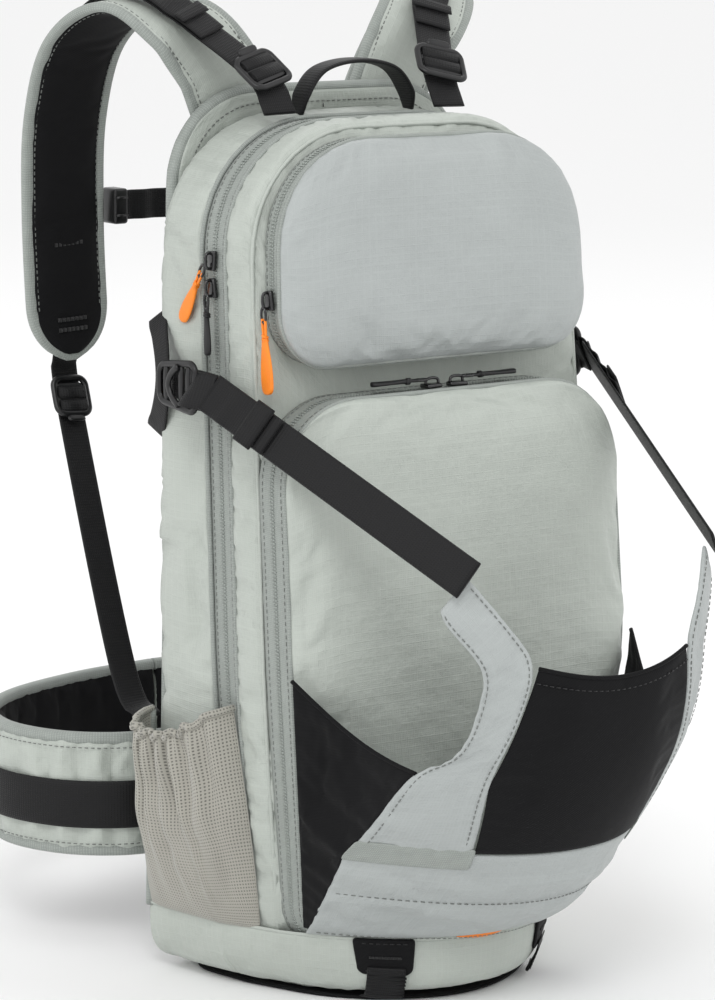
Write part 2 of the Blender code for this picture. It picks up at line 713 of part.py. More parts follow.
def make_lower_pocket_sliders():
    z = LOWER_POCKET["high"]
    for side, s in SIDES:
        centre = Vector((s * 0.0095, lean(-0.0645, z), z))
        away = Vector((s, 0, 0))
        up = Vector((0, 0, 1))
        across = Vector((0, 1, 0))
        slider = zip_slider("lower_pocket_slider_" + side, centre, across, away, up, size=(0.009, 0.011, 0.005))
        zip_pull("lower_pocket_pull_" + side, centre + up * 0.0068 + away * 0.003, away, across, up, 0.044, 0.007,
                 BLACK_CLOTH, slider)


def main():
    clear_scene()
    compartment("back_compartment", ZIP_HALF, BACK_Y, 0.012)
    compartment("front_compartment", -ZIP_HALF, FACE_Y, 0.012)
    make_main_zip()
    pocket("upper_pocket", UPPER_POCKET, UPPER_FACE_Y, 0.016, COOL_GREY)
    pocket("lower_pocket", LOWER_POCKET, LOWER_FACE_Y, 0.011, PALE)
    make_base_panel()
    make_back()
    make_rain_cover()
    make_bottle_pockets()
    make_shoulder_harness()
    make_sternum_strap()
    make_grab_handle()
    make_hip_belt()
    make_helmet_carrier()
    make_gussets()
    make_carrier_straps()
    make_lash_patches()
    make_main_sliders()
    make_upper_pocket_slider()
    make_lower_pocket_sliders()


main()
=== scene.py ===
"""Looks of a ski backpack, built round its frame: cloth, padding, webbing, zips and moulded fittings.

Metres, +Z up. The helmet carrier faces -Y, the wearer's side +Y, and +X is to the right from the front.
"""

import math
from functools import lru_cache

import bmesh
import bpy
from mathutils import Matrix, Vector, noise


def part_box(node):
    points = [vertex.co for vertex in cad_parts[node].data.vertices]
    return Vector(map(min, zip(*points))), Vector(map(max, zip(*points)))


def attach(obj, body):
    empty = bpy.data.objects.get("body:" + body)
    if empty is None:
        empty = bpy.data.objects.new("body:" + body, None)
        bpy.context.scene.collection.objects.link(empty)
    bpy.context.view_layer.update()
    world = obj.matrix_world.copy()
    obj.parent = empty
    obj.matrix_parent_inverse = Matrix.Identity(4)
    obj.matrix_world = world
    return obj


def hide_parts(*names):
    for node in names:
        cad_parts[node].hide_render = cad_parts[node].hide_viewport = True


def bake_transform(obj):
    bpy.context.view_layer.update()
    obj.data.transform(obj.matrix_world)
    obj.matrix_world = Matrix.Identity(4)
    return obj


bl_info = {
    "name": "Ski Backpack",
    "version": (1, 0, 0),
    "blender": (4, 5, 0),
    "location": "View3D > Sidebar > Backpack",
    "description": "Cloth, padding, webbing and fittings of a ski backpack with a helmet carrier",
    "category": "Add Mesh",
}

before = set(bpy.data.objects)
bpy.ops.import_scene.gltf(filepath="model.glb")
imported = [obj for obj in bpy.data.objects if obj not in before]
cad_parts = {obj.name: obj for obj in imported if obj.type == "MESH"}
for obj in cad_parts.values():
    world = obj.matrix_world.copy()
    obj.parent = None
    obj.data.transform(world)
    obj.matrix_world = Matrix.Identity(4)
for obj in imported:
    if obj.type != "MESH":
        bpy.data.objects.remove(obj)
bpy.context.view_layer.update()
BAG_LOW, BAG_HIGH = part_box("back_compartment")
SIDES = (("left", -1), ("right", 1))
UP = Vector((0, 0, 1))
REAR = Vector((0, 1, 0))
RIGHT = Vector((1, 0, 0))

CLOTH_STEPS = 18  # frames that a cloth needs to come to rest
CLOTH_STIFFNESS = 12.0
FRONT_SEAM_Y = -0.119  # depth of the seam at the carrier's foot
BOOT_FRONT_Y = -0.1188  # depth of the band round the bag's foot, at its front
HOOK_LEVEL = 0.395  # height of the hook buckles and of the loops that they hold on to
BELT_CENTRE_Y = 0.19  # depth of the middle of the closed hip belt


# ---- sizes and colours ------------------------------------------------------------------------------------
def linear(hex_colour):
    """An sRGB hex colour as linear red, green and blue."""
    channels = [int(hex_colour[i : i + 2], 16) / 255 for i in (1, 3, 5)]
    return [c / 12.92 if c <= 0.04045 else ((c + 0.055) / 1.055) ** 2.4 for c in channels]


def size(name, description, default):
    return bpy.props.FloatProperty(name=name, description=description, default=default, unit="LENGTH",
                                   precision=4)


def share(name, description, default):
    return bpy.props.FloatProperty(name=name, description=description, default=default, subtype="FACTOR")


def colour(name, description, hex_colour):
    return bpy.props.FloatVectorProperty(
        name=name, description=description, default=linear(hex_colour), subtype="COLOR", size=3, min=0, max=1
    )


class BagSizes(bpy.types.PropertyGroup):
    """Sizes of the closed bag, its pockets and its zips."""

    height: size("Height", "Top of the closed bag", BAG_HIGH.z)
    low: size("Bottom", "Lowest point of the side walls", BAG_LOW.z)
    half_width: size("Half width", "Half the bag's width at the base", 0.1385)
    taper: share("Taper", "Narrowing of each side for each metre of height", 0.025)
    base_corner: size("Base corner", "Radius of the lower corners", 0.035)
    top_corner: size("Top corner", "Radius of the upper corners", 0.085)
    back_y: size("Back", "Rear edge of the side walls", 0.065)
    face_y: size("Face", "Front of the middle compartment", -0.042)
    zip_half: size("Zip tape", "Half the width of the main zip's tape", 0.0135)
    foot_high: size("Foot", "Height below which the front corners are rounded off", 0.24)
    lean: share("Lean", "How far the front moves forward for each metre down", 0.08)
    lean_z: size("Lean height", "Height where the front doesn't lean", 0.45)
    edge: size("Edge radius", "Radius of the bag's soft edges", 0.012)
    cloth: size("Cloth", "Thickness of lined fabric", 0.0016)
    upper_face_y: size("Upper pocket", "Front edge of the upper pocket's zip", -0.057)
    upper_bulge: size("Upper bulge", "How far the upper pocket stands out", 0.012)
    lower_face_y: size("Lower pocket", "Front edge of the lower pocket's zip", -0.070)
    lower_bulge: size("Lower bulge", "How far the lower pocket stands out", 0.011)
    tooth: size("Tooth pitch", "Distance between two zip teeth", 0.0022)
    stitch: size("Stitch", "Length of one stitch", 0.0024)


class HarnessSizes(bpy.types.PropertyGroup):
    """Sizes of the shoulder straps, the hip belt and the webbing."""

    strap_width: size("Strap width", "Width of a shoulder strap", 0.062)
    strap_thick: size("Strap thickness", "Thickness of a shoulder strap", 0.011)
    binding: size("Binding", "Width of the binding tape that shows on one side", 0.0085)
    belt_low: size("Belt bottom", "Lower edge of the hip belt", 0.066)
    belt_high: size("Belt top", "Upper edge of the hip belt", 0.150)
    belt_thick: size("Belt thickness", "Thickness of the hip belt", 0.012)
    channel: size("Channel", "Distance between two sewn channels of the hip belt", 0.023)
    webbing: size("Webbing", "Width of the wide webbing", 0.025)
    webbing_narrow: size("Narrow webbing", "Width of the narrow webbing", 0.020)
    webbing_thick: size("Webbing thickness", "Thickness of the webbing", 0.0018)


class CarrierSizes(bpy.types.PropertyGroup):
    """Sizes of the helmet carrier on the front."""

    seam_z: size("Seam height", "Height of the seam at the carrier's foot", 0.046)
    seam_y: size("Seam", "How far forward that seam is", -0.119)
    bulge: size("Bulge", "How far the carrier stands out round a helmet", 0.134)
    bulge_z: size("Bulge height", "Height where it stands out most", 0.26)
    half_width: size("Half width", "Half the width of the bulge", 0.165)
    top_span: size("Top span", "Height over which the bulge closes above", 0.20)
    panel_z: size("Panel foot", "Lower edge of the stretch panel", 0.121)
    panel_top: size("Panel top", "Upper edge of the stretch panel", 0.247)


class BackpackColours(bpy.types.PropertyGroup):
    """Colours of the cloth and the fittings."""

    pale: colour("Pale ripstop", "Main fabric", "#AEB4AD")
    grey: colour("Grey ripstop", "Upper pocket and carrier", "#A3A8A7")
    tape: colour("Tape", "Zip tapes, piping and bindings", "#989E99")
    black: colour("Black cloth", "Stretch panels, linings and webbing", "#0A0A0C")
    plastic: colour("Plastic", "Buckles and sliders", "#0B0B0D")
    mesh: colour("Pocket mesh", "Bottle pockets", "#9F9D94")
    orange: colour("Orange", "Pulls, protector and rain cover", "#F5841A")
    thread: colour("Thread", "Stitching", "#777B77")
    floor: colour("Floor", "Studio floor", "#F4F4F4")


# ---- materials --------------------------------------------------------------------------------------------
def add_node(tree, kind, feeds=None, **settings):
    """Adds a shader node; feeds gives its inputs values or other nodes' outputs."""
    made = tree.nodes.new(kind)
    for key, value in settings.items():
        setattr(made, key, value)
    for key, value in (feeds or {}).items():
        if isinstance(value, bpy.types.NodeSocket):
            tree.links.new(value, made.inputs[key])
        else:
            made.inputs[key].default_value = value
    return made


def wave_scale(mm):
    """The Wave Texture's scale for one band every so many millimetres."""
    return 2 * math.pi / 20 / (mm / 1000)


def noise_scale(mm):
    """The Noise Texture's scale for features about so many millimetres wide."""
    return 1000 / mm


def empty_material(name, base, roughness, **sockets):
    mat = bpy.data.materials.new(name)
    mat.use_nodes = True
    mat.diffuse_color = (*base, 1)
    shader = mat.node_tree.nodes["Principled BSDF"]
    shader.inputs["Base Color"].default_value = (*base, 1)
    shader.inputs["Roughness"].default_value = roughness
    for key, value in sockets.items():
        shader.inputs[key.replace("_", " ")].default_value = value
    return mat, mat.node_tree, shader


def tinted(tree, base, height, low, high, mottle_and_crease_shade, amount):
    """The base colour with painted shade where height is low, and uneven by the share `amount` along a noise."""
    # painted shade: darker where the relief is low, in the hollows between threads, ribs, holes and grain
    painted_relief_shade = add_node(tree, "ShaderNodeMapRange", {"Value": height, "To Min": low, "To Max": high})
    by_noise = add_node(
        tree,
        "ShaderNodeMapRange",
        {"Value": mottle_and_crease_shade, "From Min": 0.3, "From Max": 0.7, "To Min": 1 - amount, "To Max": 1 + amount},
    )
    value = add_node(tree, "ShaderNodeMath", {0: painted_relief_shade.outputs[0], 1: by_noise.outputs[0]},
                     operation="MULTIPLY")
    return add_node(tree, "ShaderNodeHueSaturation",
                    {"Color": (*base, 1), "Value": value.outputs[0]}).outputs[0]


def crossed_threads(tree, where, mm, sharpness):
    """Height of threads that cross each other every so many millimetres."""
    heights = []
    for direction in ("X", "Y"):
        wave = add_node(
            tree, "ShaderNodeTexWave", {"Vector": where, "Scale": wave_scale(mm)}, bands_direction=direction
        )
        heights.append(add_node(tree, "ShaderNodeMath", {0: wave.outputs["Fac"], 1: sharpness},
                                operation="POWER"))
    return add_node(
        tree, "ShaderNodeMath", {0: heights[0].outputs[0], 1: heights[1].outputs[0]}, operation="MAXIMUM"
    ).outputs[0]


def surface_place(tree, on_cloth):
    """The cloth's own flat map, in metres, or the object's place where a piece has no such map."""
    return add_node(tree, "ShaderNodeTexCoord").outputs["UV" if on_cloth else "Object"]


@lru_cache(maxsize=None)
def ripstop(name, base_name, roughness=0.47, on_cloth=True):
    """Ripstop nylon, woven and calendered: satin, with a raised thread every few millimetres.

    The rip threads are 5 mm apart. The plain weave between them is drawn at 1.3 mm, so that it shows.
    """
    base = tuple(getattr(bpy.context.scene.backpack_colours, base_name))
    mat, tree, shader = empty_material(name, base, roughness, Sheen_Weight=0.08, Sheen_Roughness=0.5)
    where = surface_place(tree, on_cloth)
    rip = crossed_threads(tree, where, 5.0, 14.0)
    weave = crossed_threads(tree, where, 1.3, 1.5)
    creases = add_node(tree, "ShaderNodeTexNoise", {"Vector": where, "Scale": noise_scale(26), "Detail": 3.0})
    clouds = add_node(tree, "ShaderNodeTexNoise", {"Vector": where, "Scale": noise_scale(70), "Detail": 4.0})
    both = add_node(tree, "ShaderNodeMath", {0: rip, 1: weave}, operation="ADD")
    # painted shade between the woven threads, a little lighter on the raised rip threads
    tint = tinted(tree, base, both.outputs[0], 0.955, 1.03, clouds.outputs["Fac"], 0.035)
    tree.links.new(tint, shader.inputs["Base Color"])
    soft = add_node(tree, "ShaderNodeBump",
                    {"Height": creases.outputs["Fac"], "Strength": 0.5, "Distance": 0.006})
    fine = add_node(
        tree,
        "ShaderNodeBump",
        {"Height": both.outputs[0], "Strength": 0.5, "Distance": 0.00016, "Normal": soft.outputs["Normal"]},
    )
    tree.links.new(fine.outputs["Normal"], shader.inputs["Normal"])
    rough = add_node(
        tree,
        "ShaderNodeMapRange",
        {"Value": clouds.outputs["Fac"], "To Min": roughness - 0.07, "To Max": roughness + 0.09},
    )
    tree.links.new(rough.outputs[0], shader.inputs["Roughness"])
    return mat


@lru_cache(maxsize=None)
def stretch_knit(name, on_cloth=True):
    """Woven stretch nylon in black: matt and slightly furry, with a fine diagonal line and shallow creases, both
    with painted shade in their hollows.

    The diagonal is drawn at 1.6 mm, as coarse as it needs to show.
    """
    base = tuple(bpy.context.scene.backpack_colours.black)
    mat, tree, shader = empty_material(
        name, base, 0.78, Sheen_Weight=0.03, Sheen_Roughness=0.4, Specular_IOR_Level=0.2
    )
    where = surface_place(tree, on_cloth)
    turned = add_node(tree, "ShaderNodeMapping", {"Vector": where, "Rotation": (0, 0, math.radians(52))})
    twill = add_node(
        tree,
        "ShaderNodeTexWave",
        {"Vector": turned.outputs[0], "Scale": wave_scale(1.6), "Distortion": 0.4, "Detail": 1.0},
    )
    creases = add_node(tree, "ShaderNodeTexNoise", {"Vector": where, "Scale": noise_scale(34), "Detail": 2.0})
    # painted shade in the twill's grooves and along the creases, whose noise also makes the bump
    tint = tinted(tree, base, twill.outputs["Fac"], 0.8, 1.2, creases.outputs["Fac"], 0.1)
    tree.links.new(tint, shader.inputs["Base Color"])
    soft = add_node(tree, "ShaderNodeBump",
                    {"Height": creases.outputs["Fac"], "Strength": 0.3, "Distance": 0.003})
    fine = add_node(
        tree,
        "ShaderNodeBump",
        {"Height": twill.outputs["Fac"], "Strength": 0.4, "Distance": 0.00015,
         "Normal": soft.outputs["Normal"]},
    )
    tree.links.new(fine.outputs["Normal"], shader.inputs["Normal"])
    return mat


@lru_cache(maxsize=None)
def woven_tape(name, base_name, rib_mm, roughness=0.7, gloss=0.1, specular=0.5, on_cloth=True):
    """Woven nylon tape: cross ribs along its length, a flatter selvedge line and a dull shine.

    Real ribs are about 1 mm apart; they are drawn wider, as coarse as they need to show.
    """
    base = tuple(getattr(bpy.context.scene.backpack_colours, base_name))
    mat, tree, shader = empty_material(name, base, roughness, Sheen_Weight=gloss, Specular_IOR_Level=specular)
    where = surface_place(tree, on_cloth)
    ribs = add_node(
        tree,
        "ShaderNodeTexWave",
        {"Vector": where, "Scale": wave_scale(rib_mm), "Distortion": 0.25, "Detail": 1.0},
        bands_direction="Y",
    )
    yarns = add_node(
        tree, "ShaderNodeTexWave", {"Vector": where, "Scale": wave_scale(rib_mm * 0.7)}, bands_direction="X"
    )
    cloth = add_node(tree, "ShaderNodeMath", {0: ribs.outputs["Fac"], 1: yarns.outputs["Fac"]},
                     operation="MULTIPLY")
    dust = add_node(tree, "ShaderNodeTexNoise", {"Vector": where, "Scale": noise_scale(9), "Detail": 3.0})
    # painted shade between the ribs and yarns, lighter on their crests
    tint = tinted(tree, base, cloth.outputs[0], 0.82, 1.16, dust.outputs["Fac"], 0.06)
    tree.links.new(tint, shader.inputs["Base Color"])
    bump = add_node(tree, "ShaderNodeBump", {"Height": cloth.outputs[0], "Strength": 0.7, "Distance": 0.0003})
    tree.links.new(bump.outputs["Normal"], shader.inputs["Normal"])
    return mat


@lru_cache(maxsize=None)
def knitted_mesh(name):
    """Knitted polyester mesh: soft beige threads round oval holes, 2.3 mm apart by 2.1 mm, the holes drawn as
    painted shade.
    """
    base = tuple(bpy.context.scene.backpack_colours.mesh)
    mat, tree, shader = empty_material(name, base, 0.82, Sheen_Weight=0.3)
    where = surface_place(tree, True)
    waves = [
        add_node(
            tree, "ShaderNodeTexWave", {"Vector": where, "Scale": wave_scale(mm)}, bands_direction=direction
        ).outputs["Fac"]
        for direction, mm in (("X", 2.3), ("Y", 2.1))
    ]
    deep = add_node(tree, "ShaderNodeMath", {0: waves[0], 1: waves[1]}, operation="MULTIPLY")
    hole = add_node(
        tree,
        "ShaderNodeMapRange",
        {"Value": deep.outputs[0], "From Min": 0.38, "From Max": 0.66, "To Min": 1.0, "To Max": 0.0},
        interpolation_type="SMOOTHSTEP",
    )
    dust = add_node(tree, "ShaderNodeTexNoise", {"Vector": where, "Scale": noise_scale(30), "Detail": 3.0})
    # painted shade in the holes, which are only a darker colour and a bump
    tint = tinted(tree, base, hole.outputs[0], 0.42, 1.04, dust.outputs["Fac"], 0.05)
    tree.links.new(tint, shader.inputs["Base Color"])
    bump = add_node(tree, "ShaderNodeBump", {"Height": hole.outputs[0], "Strength": 0.8, "Distance": 0.0006})
    tree.links.new(bump.outputs["Normal"], shader.inputs["Normal"])
    return mat


@lru_cache(maxsize=None)
def spacer_mesh(name):
    """Black spacer mesh over foam: deep round cells 4 mm apart, matt, with painted shade in the cells and lighter
    rims.
    """
    base = tuple(bpy.context.scene.backpack_colours.black)
    mat, tree, shader = empty_material(name, base, 0.9, Sheen_Weight=0.2)
    where = surface_place(tree, True)
    cells = add_node(tree, "ShaderNodeTexVoronoi",
                     {"Vector": where, "Scale": noise_scale(4.0), "Randomness": 0.15})
    dust = add_node(tree, "ShaderNodeTexNoise", {"Vector": where, "Scale": noise_scale(25), "Detail": 2.0})
    # painted shade deep in the cells, lighter on their rims
    tint = tinted(tree, base, cells.outputs["Distance"], 0.6, 1.8, dust.outputs["Fac"], 0.1)
    tree.links.new(tint, shader.inputs["Base Color"])
    bump = add_node(tree, "ShaderNodeBump",
                    {"Height": cells.outputs["Distance"], "Strength": 0.9, "Distance": 0.001})
    tree.links.new(bump.outputs["Normal"], shader.inputs["Normal"])
    return mat


@lru_cache(maxsize=None)
def moulded(name, base_name, roughness, grain_mm=0.9, **sockets):
    """Injection-moulded plastic: an even colour, a fine spark-eroded grain and rubbed, shinier patches."""
    base = tuple(getattr(bpy.context.scene.backpack_colours, base_name))
    mat, tree, shader = empty_material(name, base, roughness, **sockets)
    where = surface_place(tree, False)
    grain = add_node(tree, "ShaderNodeTexNoise",
                     {"Vector": where, "Scale": noise_scale(grain_mm), "Detail": 2.0})
    rub = add_node(tree, "ShaderNodeTexNoise", {"Vector": where, "Scale": noise_scale(12), "Detail": 3.0})
    # painted shade in the pits of the grain; the rubbed patches are wear
    tint = tinted(tree, base, grain.outputs["Fac"], 0.92, 1.08, rub.outputs["Fac"], 0.06)
    tree.links.new(tint, shader.inputs["Base Color"])
    rough = add_node(
        tree,
        "ShaderNodeMapRange",
        {"Value": rub.outputs["Fac"], "To Min": roughness - 0.1, "To Max": roughness + 0.1},
    )
    tree.links.new(rough.outputs[0], shader.inputs["Roughness"])
    bump = add_node(tree, "ShaderNodeBump",
                    {"Height": grain.outputs["Fac"], "Strength": 0.25, "Distance": 0.00008})
    tree.links.new(bump.outputs["Normal"], shader.inputs["Normal"])
    return mat


def pale_cloth():
    return ripstop("pale_ripstop_nylon", "pale")


def grey_cloth():
    return ripstop("grey_ripstop_nylon", "grey", 0.5)


def black_cloth():
    return stretch_knit("black_stretch_nylon")


def black_webbing():
    return woven_tape("black_nylon_webbing", "black", 2.0, 0.55, 0.03, 0.28)


def grey_tape():
    return woven_tape("grey_binding_tape", "tape", 1.7, 0.62)


def acetal():
    return moulded("black_moulded_acetal", "plastic", 0.36)


def lacquered_zinc():
    return moulded("black_lacquered_zinc", "plastic", 0.24, 0.6, Coat_Weight=0.4)


def orange_rubber():
    return moulded("orange_moulded_rubber", "orange", 0.42, 1.2, Subsurface_Weight=0.08)


def black_rubber():
    return moulded("black_moulded_rubber", "plastic", 0.5, 1.0)


def thread():
    return woven_tape("grey_polyester_thread", "thread", 0.8, 0.6, on_cloth=False)


def dark_thread():
    return woven_tape("dark_polyester_thread", "plastic", 0.8, 0.6, on_cloth=False)


# ---- shaping ----------------------------------------------------------------------------------------------
def surface(place, across, along, close=False, paint=None, pin=None):
    """A grid of faces whose corners are set by place(u, v), with its flat map in metres.

    Corners that meet are joined, so a section that returns to its start makes a tube, and close fills its
    ends. paint gives a face its material number, and pin marks the corners that a seam holds.
    """
    bm = bmesh.new()
    bmesh.ops.create_grid(bm, x_segments=across, y_segments=along, size=0.5)
    flat = bm.loops.layers.uv.new("flat")
    held = bm.verts.layers.int.new("held")
    spots = {v: (round((v.co.x + 0.5) * across), round((v.co.y + 0.5) * along)) for v in bm.verts}
    for vert, (i, j) in spots.items():
        vert.co = place(i / across, j / along)
        vert[held] = int(bool(pin and pin(i / across, j / along)))
    where = {spot: vert.co for vert, spot in spots.items()}
    middle_i, middle_j = across // 2, along // 2
    run_u, run_v = [0.0], [0.0]
    for i in range(across):
        run_u.append(run_u[-1] + (where[i + 1, middle_j] - where[i, middle_j]).length)
    for j in range(along):
        run_v.append(run_v[-1] + (where[middle_i, j + 1] - where[middle_i, j]).length)
    for face in bm.faces:
        face.smooth = True
        for loop in face.loops:
            i, j = spots[loop.vert]
            loop[flat].uv = (run_u[i], run_v[j])
        if paint:
            i = min(spots[vert][0] for vert in face.verts)
            j = min(spots[vert][1] for vert in face.verts)
            face.material_index = paint((i + 0.5) / across, (j + 0.5) / along)
    bmesh.ops.remove_doubles(bm, verts=bm.verts, dist=1e-6)
    if close:
        bmesh.ops.holes_fill(bm, edges=[e for e in bm.edges if e.is_boundary], sides=0)
    return bm


def settle(obj, pressure, slack, cap):
    """Lets the cloth find its shape: seams stay, the rest is longer by slack and swells up to cap."""
    mesh = obj.data
    start = [v.co.copy() for v in mesh.vertices]
    held = [i for i, item in enumerate(mesh.attributes["held"].data) if item.value]
    group = obj.vertex_groups.new(name="seams")
    group.add(held, 1.0, "ADD")
    cloth = obj.modifiers.new("settle", "CLOTH")
    setting = cloth.settings
    setting.vertex_group_mass = group.name
    setting.effector_weights.gravity = 0.0
    setting.use_pressure = abs(pressure) > 0
    setting.uniform_pressure_force = pressure
    setting.shrink_min = -slack
    setting.tension_stiffness = setting.compression_stiffness = CLOTH_STIFFNESS
    setting.bending_stiffness = 0.2
    setting.quality = 4
    cloth.collision_settings.use_collision = False
    cloth.point_cache.frame_start = 1
    cloth.point_cache.frame_end = CLOTH_STEPS
    for step in range(1, CLOTH_STEPS + 1):
        bpy.context.scene.frame_set(step)
    shaped = obj.evaluated_get(bpy.context.evaluated_depsgraph_get()).data
    moved = [v.co - s for v, s in zip(shaped.vertices, start)]
    obj.modifiers.remove(cloth)
    obj.vertex_groups.remove(group)
    for vert, place, move in zip(mesh.vertices, start, moved):
        far = move.length
        vert.co = place + (move * (cap * math.tanh(far / cap) / far) if far > 1e-9 else move)
    bpy.context.scene.frame_set(1)


def piece(name, bm, finishes, body, slot, stands_for=(), away=None, wall=0.0, smooth=1, cloth=None,
          blend=None):
    """Makes a bmesh one piece of the pack. An open sheet faces away from a point and can get a wall."""
    for vert in bm.verts:
        vert.co = rounded_foot(vert.co)
    if away is None:
        bmesh.ops.recalc_face_normals(bm, faces=bm.faces)
    else:
        bm.normal_update()
        if sum(f.normal.dot(f.calc_center_median() - Vector(away)) * f.calc_area() for f in bm.faces) < 0:
            bmesh.ops.reverse_faces(bm, faces=bm.faces)
    mesh = bpy.data.meshes.new(name)
    bm.to_mesh(mesh)
    bm.free()
    mesh.shade_smooth()
    for finish in finishes if isinstance(finishes, (list, tuple)) else [finishes]:
        mesh.materials.append(finish)
    obj = bpy.data.objects.new(name, mesh)
    bpy.context.scene.collection.objects.link(obj)
    if cloth:
        settle(obj, **cloth)
    if wall:
        solid = obj.modifiers.new("wall", "SOLIDIFY")
        solid.thickness = wall
        solid.offset = -1.0
    if smooth:
        soft = obj.modifiers.new("smooth", "SUBSURF")
        soft.levels = soft.render_levels = smooth
    if blend:
        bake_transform(obj)
    else:
        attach(obj, body)
    if stands_for:
        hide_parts(*([stands_for] if isinstance(stands_for, str) else stands_for))
    return obj


def smooth_path(points, per_span=4):
    """A Catmull-Rom curve through the points."""
    p = [Vector(q) for q in points]
    p = [2 * p[0] - p[1]] + p + [2 * p[-1] - p[-2]]
    out = []
    for a, b, c, d in zip(p, p[1:], p[2:], p[3:]):
        for k in range(per_span):
            t = k / per_span
            out.append(
                0.5 * (2 * b + (c - a) * t + (2 * a - 5 * b + 4 * c - d) * t * t + (3 * b - a - 3 * c + d) * t**3)
            )
    out.append(p[-2])
    return out


def even(points, count):
    """The line through the points again, with count points at equal steps."""
    points = [Vector(p) for p in points]
    run = [0.0]
    for a, b in zip(points, points[1:]):
        run.append(run[-1] + (b - a).length)
    out, i = [], 0
    for k in range(count):
        goal = run[-1] * k / (count - 1)
        while i < len(points) - 2 and run[i + 1] < goal:
            i += 1
        span = run[i + 1] - run[i]
        out.append(points[i].lerp(points[i + 1], (goal - run[i]) / span if span else 0.0))
    return out


def follow(points, count=81):
    """A line as a function from 0 to 1."""
    line = even(points, count)

    def at(f):
        x = max(0.0, min(1.0, f)) * (count - 1)
        i = min(int(x), count - 2)
        return line[i].lerp(line[i + 1], x - i)

    return at


def frames(path, side_hint):
    """(point, side, normal) along a path; side is the hint made square to the path."""
    out = []
    for i, point in enumerate(path):
        tangent = (path[min(i + 1, len(path) - 1)] - path[max(i - 1, 0)]).normalized()
        side = (side_hint - tangent * side_hint.dot(tangent)).normalized()
        out.append((point, side, tangent.cross(side).normalized()))
    return out


def ring_frames(path, side_hint):
    """The same for a closed path, whose last point is its first."""
    out = []
    count = len(path) - 1
    for i in range(count + 1):
        tangent = (path[(i + 1) % count] - path[(i - 1) % count]).normalized()
        side = (side_hint - tangent * side_hint.dot(tangent)).normalized()
        out.append((path[i % count], side, tangent.cross(side).normalized()))
    return out


def oval(u, half_width, half_thick, power=2.0):
    """A point of an oval section; a higher power makes it squarer."""
    c, s = math.cos(2 * math.pi * u), math.sin(2 * math.pi * u)
    return (
        half_width * math.copysign(abs(c) ** (2 / power), c),
        half_thick * math.copysign(abs(s) ** (2 / power), s),
    )


def sweep(stations, section, around, close=True, paint=None, pin=None):
    """A section(u, v) carried along (point, side, normal) stations."""
    along = len(stations) - 1

    def place(u, v):
        point, side, normal = stations[round(v * along)]
        a, b = section(0.0 if u == 1 else u, v)
        return point + side * a + normal * b

    return surface(place, around, along, close, paint, pin)


def webbing(stations, width, thick):
    """A flat woven strap with soft edges, closed at both ends."""
    return sweep(stations, lambda u, v: oval(u, width / 2, thick / 2, 5.0), 12)


def strap_piece(name, stations, width, thick, stands_for=(), body="pack", blend=None):
    """A length of black webbing."""
    strap = webbing(stations, width, thick)
    return piece(name, strap, black_webbing(), body, "webbing_black", stands_for, smooth=0, blend=blend)


def tape_piece(name, bm, body="pack", blend=None):
    """A roll or strip of grey tape."""
    return piece(name, bm, grey_tape(), body, "ripstop_grey", smooth=0, blend=blend)


def cord_of(path, radius, sides=8, hint=UP):
    """A round cord along an open path."""
    return sweep(frames(path, hint), lambda u, v: oval(u, radius, radius), sides)


def loop_of(path, radius, sides=8, hint=UP, flat=1.0):
    """A round bar along a closed path, whose last point is its first."""
    return sweep(ring_frames(path, hint), lambda u, v: oval(u, radius * flat, radius), sides, close=False)


def gather(bm, other):
    """Adds another bmesh to the first, which then holds both."""
    mesh = bpy.data.meshes.new("part")
    other.to_mesh(mesh)
    other.free()
    bm.from_mesh(mesh)
    bpy.data.meshes.remove(mesh)
    return bm


def rounded(corners, steps=8):
    """The outline of a polygon whose corners (x, z, radius) are filleted with arcs, as (x, z) points."""
    out = []
    for i, (x, z, radius) in enumerate(corners):
        here = Vector((x, z))
        to_last = (Vector(corners[i - 1][:2]) - here).normalized()
        to_next = (Vector(corners[(i + 1) % len(corners)][:2]) - here).normalized()
        half = to_last.angle(to_next) / 2
        centre = here + (to_last + to_next).normalized() * radius / math.sin(half)
        start = here + to_last * radius / math.tan(half) - centre
        end = here + to_next * radius / math.tan(half) - centre
        turn = start.angle(end)
        for k in range(steps + 1):
            f = k / steps
            arm = start * math.sin((1 - f) * turn) + end * math.sin(f * turn)
            out.append(centre + arm / math.sin(turn))
    return out


def four_edges(corners, steps=8):
    """The four edges of a rounded quadrilateral: bottom and top run right, left and right run up."""
    points = rounded(corners, steps)
    points += points[: steps + 1]
    middle = [k * (steps + 1) + steps // 2 for k in range(5)]
    runs = [points[a : b + 1] for a, b in zip(middle, middle[1:])]
    return follow(runs[0]), follow(runs[1]), follow(runs[2][::-1]), follow(runs[3][::-1])


def at_rim(u, v, wide=0.001):
    """Whether a point of a panel is on its outer seam."""
    return min(u, 1 - u, v, 1 - v) < wide


def patch(bottom, right, top, left):
    """place(u, v) inside four edges."""

    def place(u, v):
        edges = bottom(u) * (1 - v) + top(u) * v + left(v) * (1 - u) + right(v) * u
        ends = bottom(0) * (1 - u) * (1 - v) + bottom(1) * u * (1 - v) + top(0) * (1 - u) * v + top(1) * u * v
        return edges - ends

    return place


def blocks(spots, dimensions):
    """Small boxes at (point, along, out) spots; dimensions are along, across and out."""
    bm = bmesh.new()
    for point, along, out in spots:
        along = along.normalized()
        across = out.cross(along).normalized()
        out = along.cross(across)
        axes = Matrix((along * dimensions[0], across * dimensions[1], out * dimensions[2])).transposed()
        bmesh.ops.create_cube(bm, size=1.0, matrix=Matrix.Translation(point) @ axes.to_4x4())
    return bm


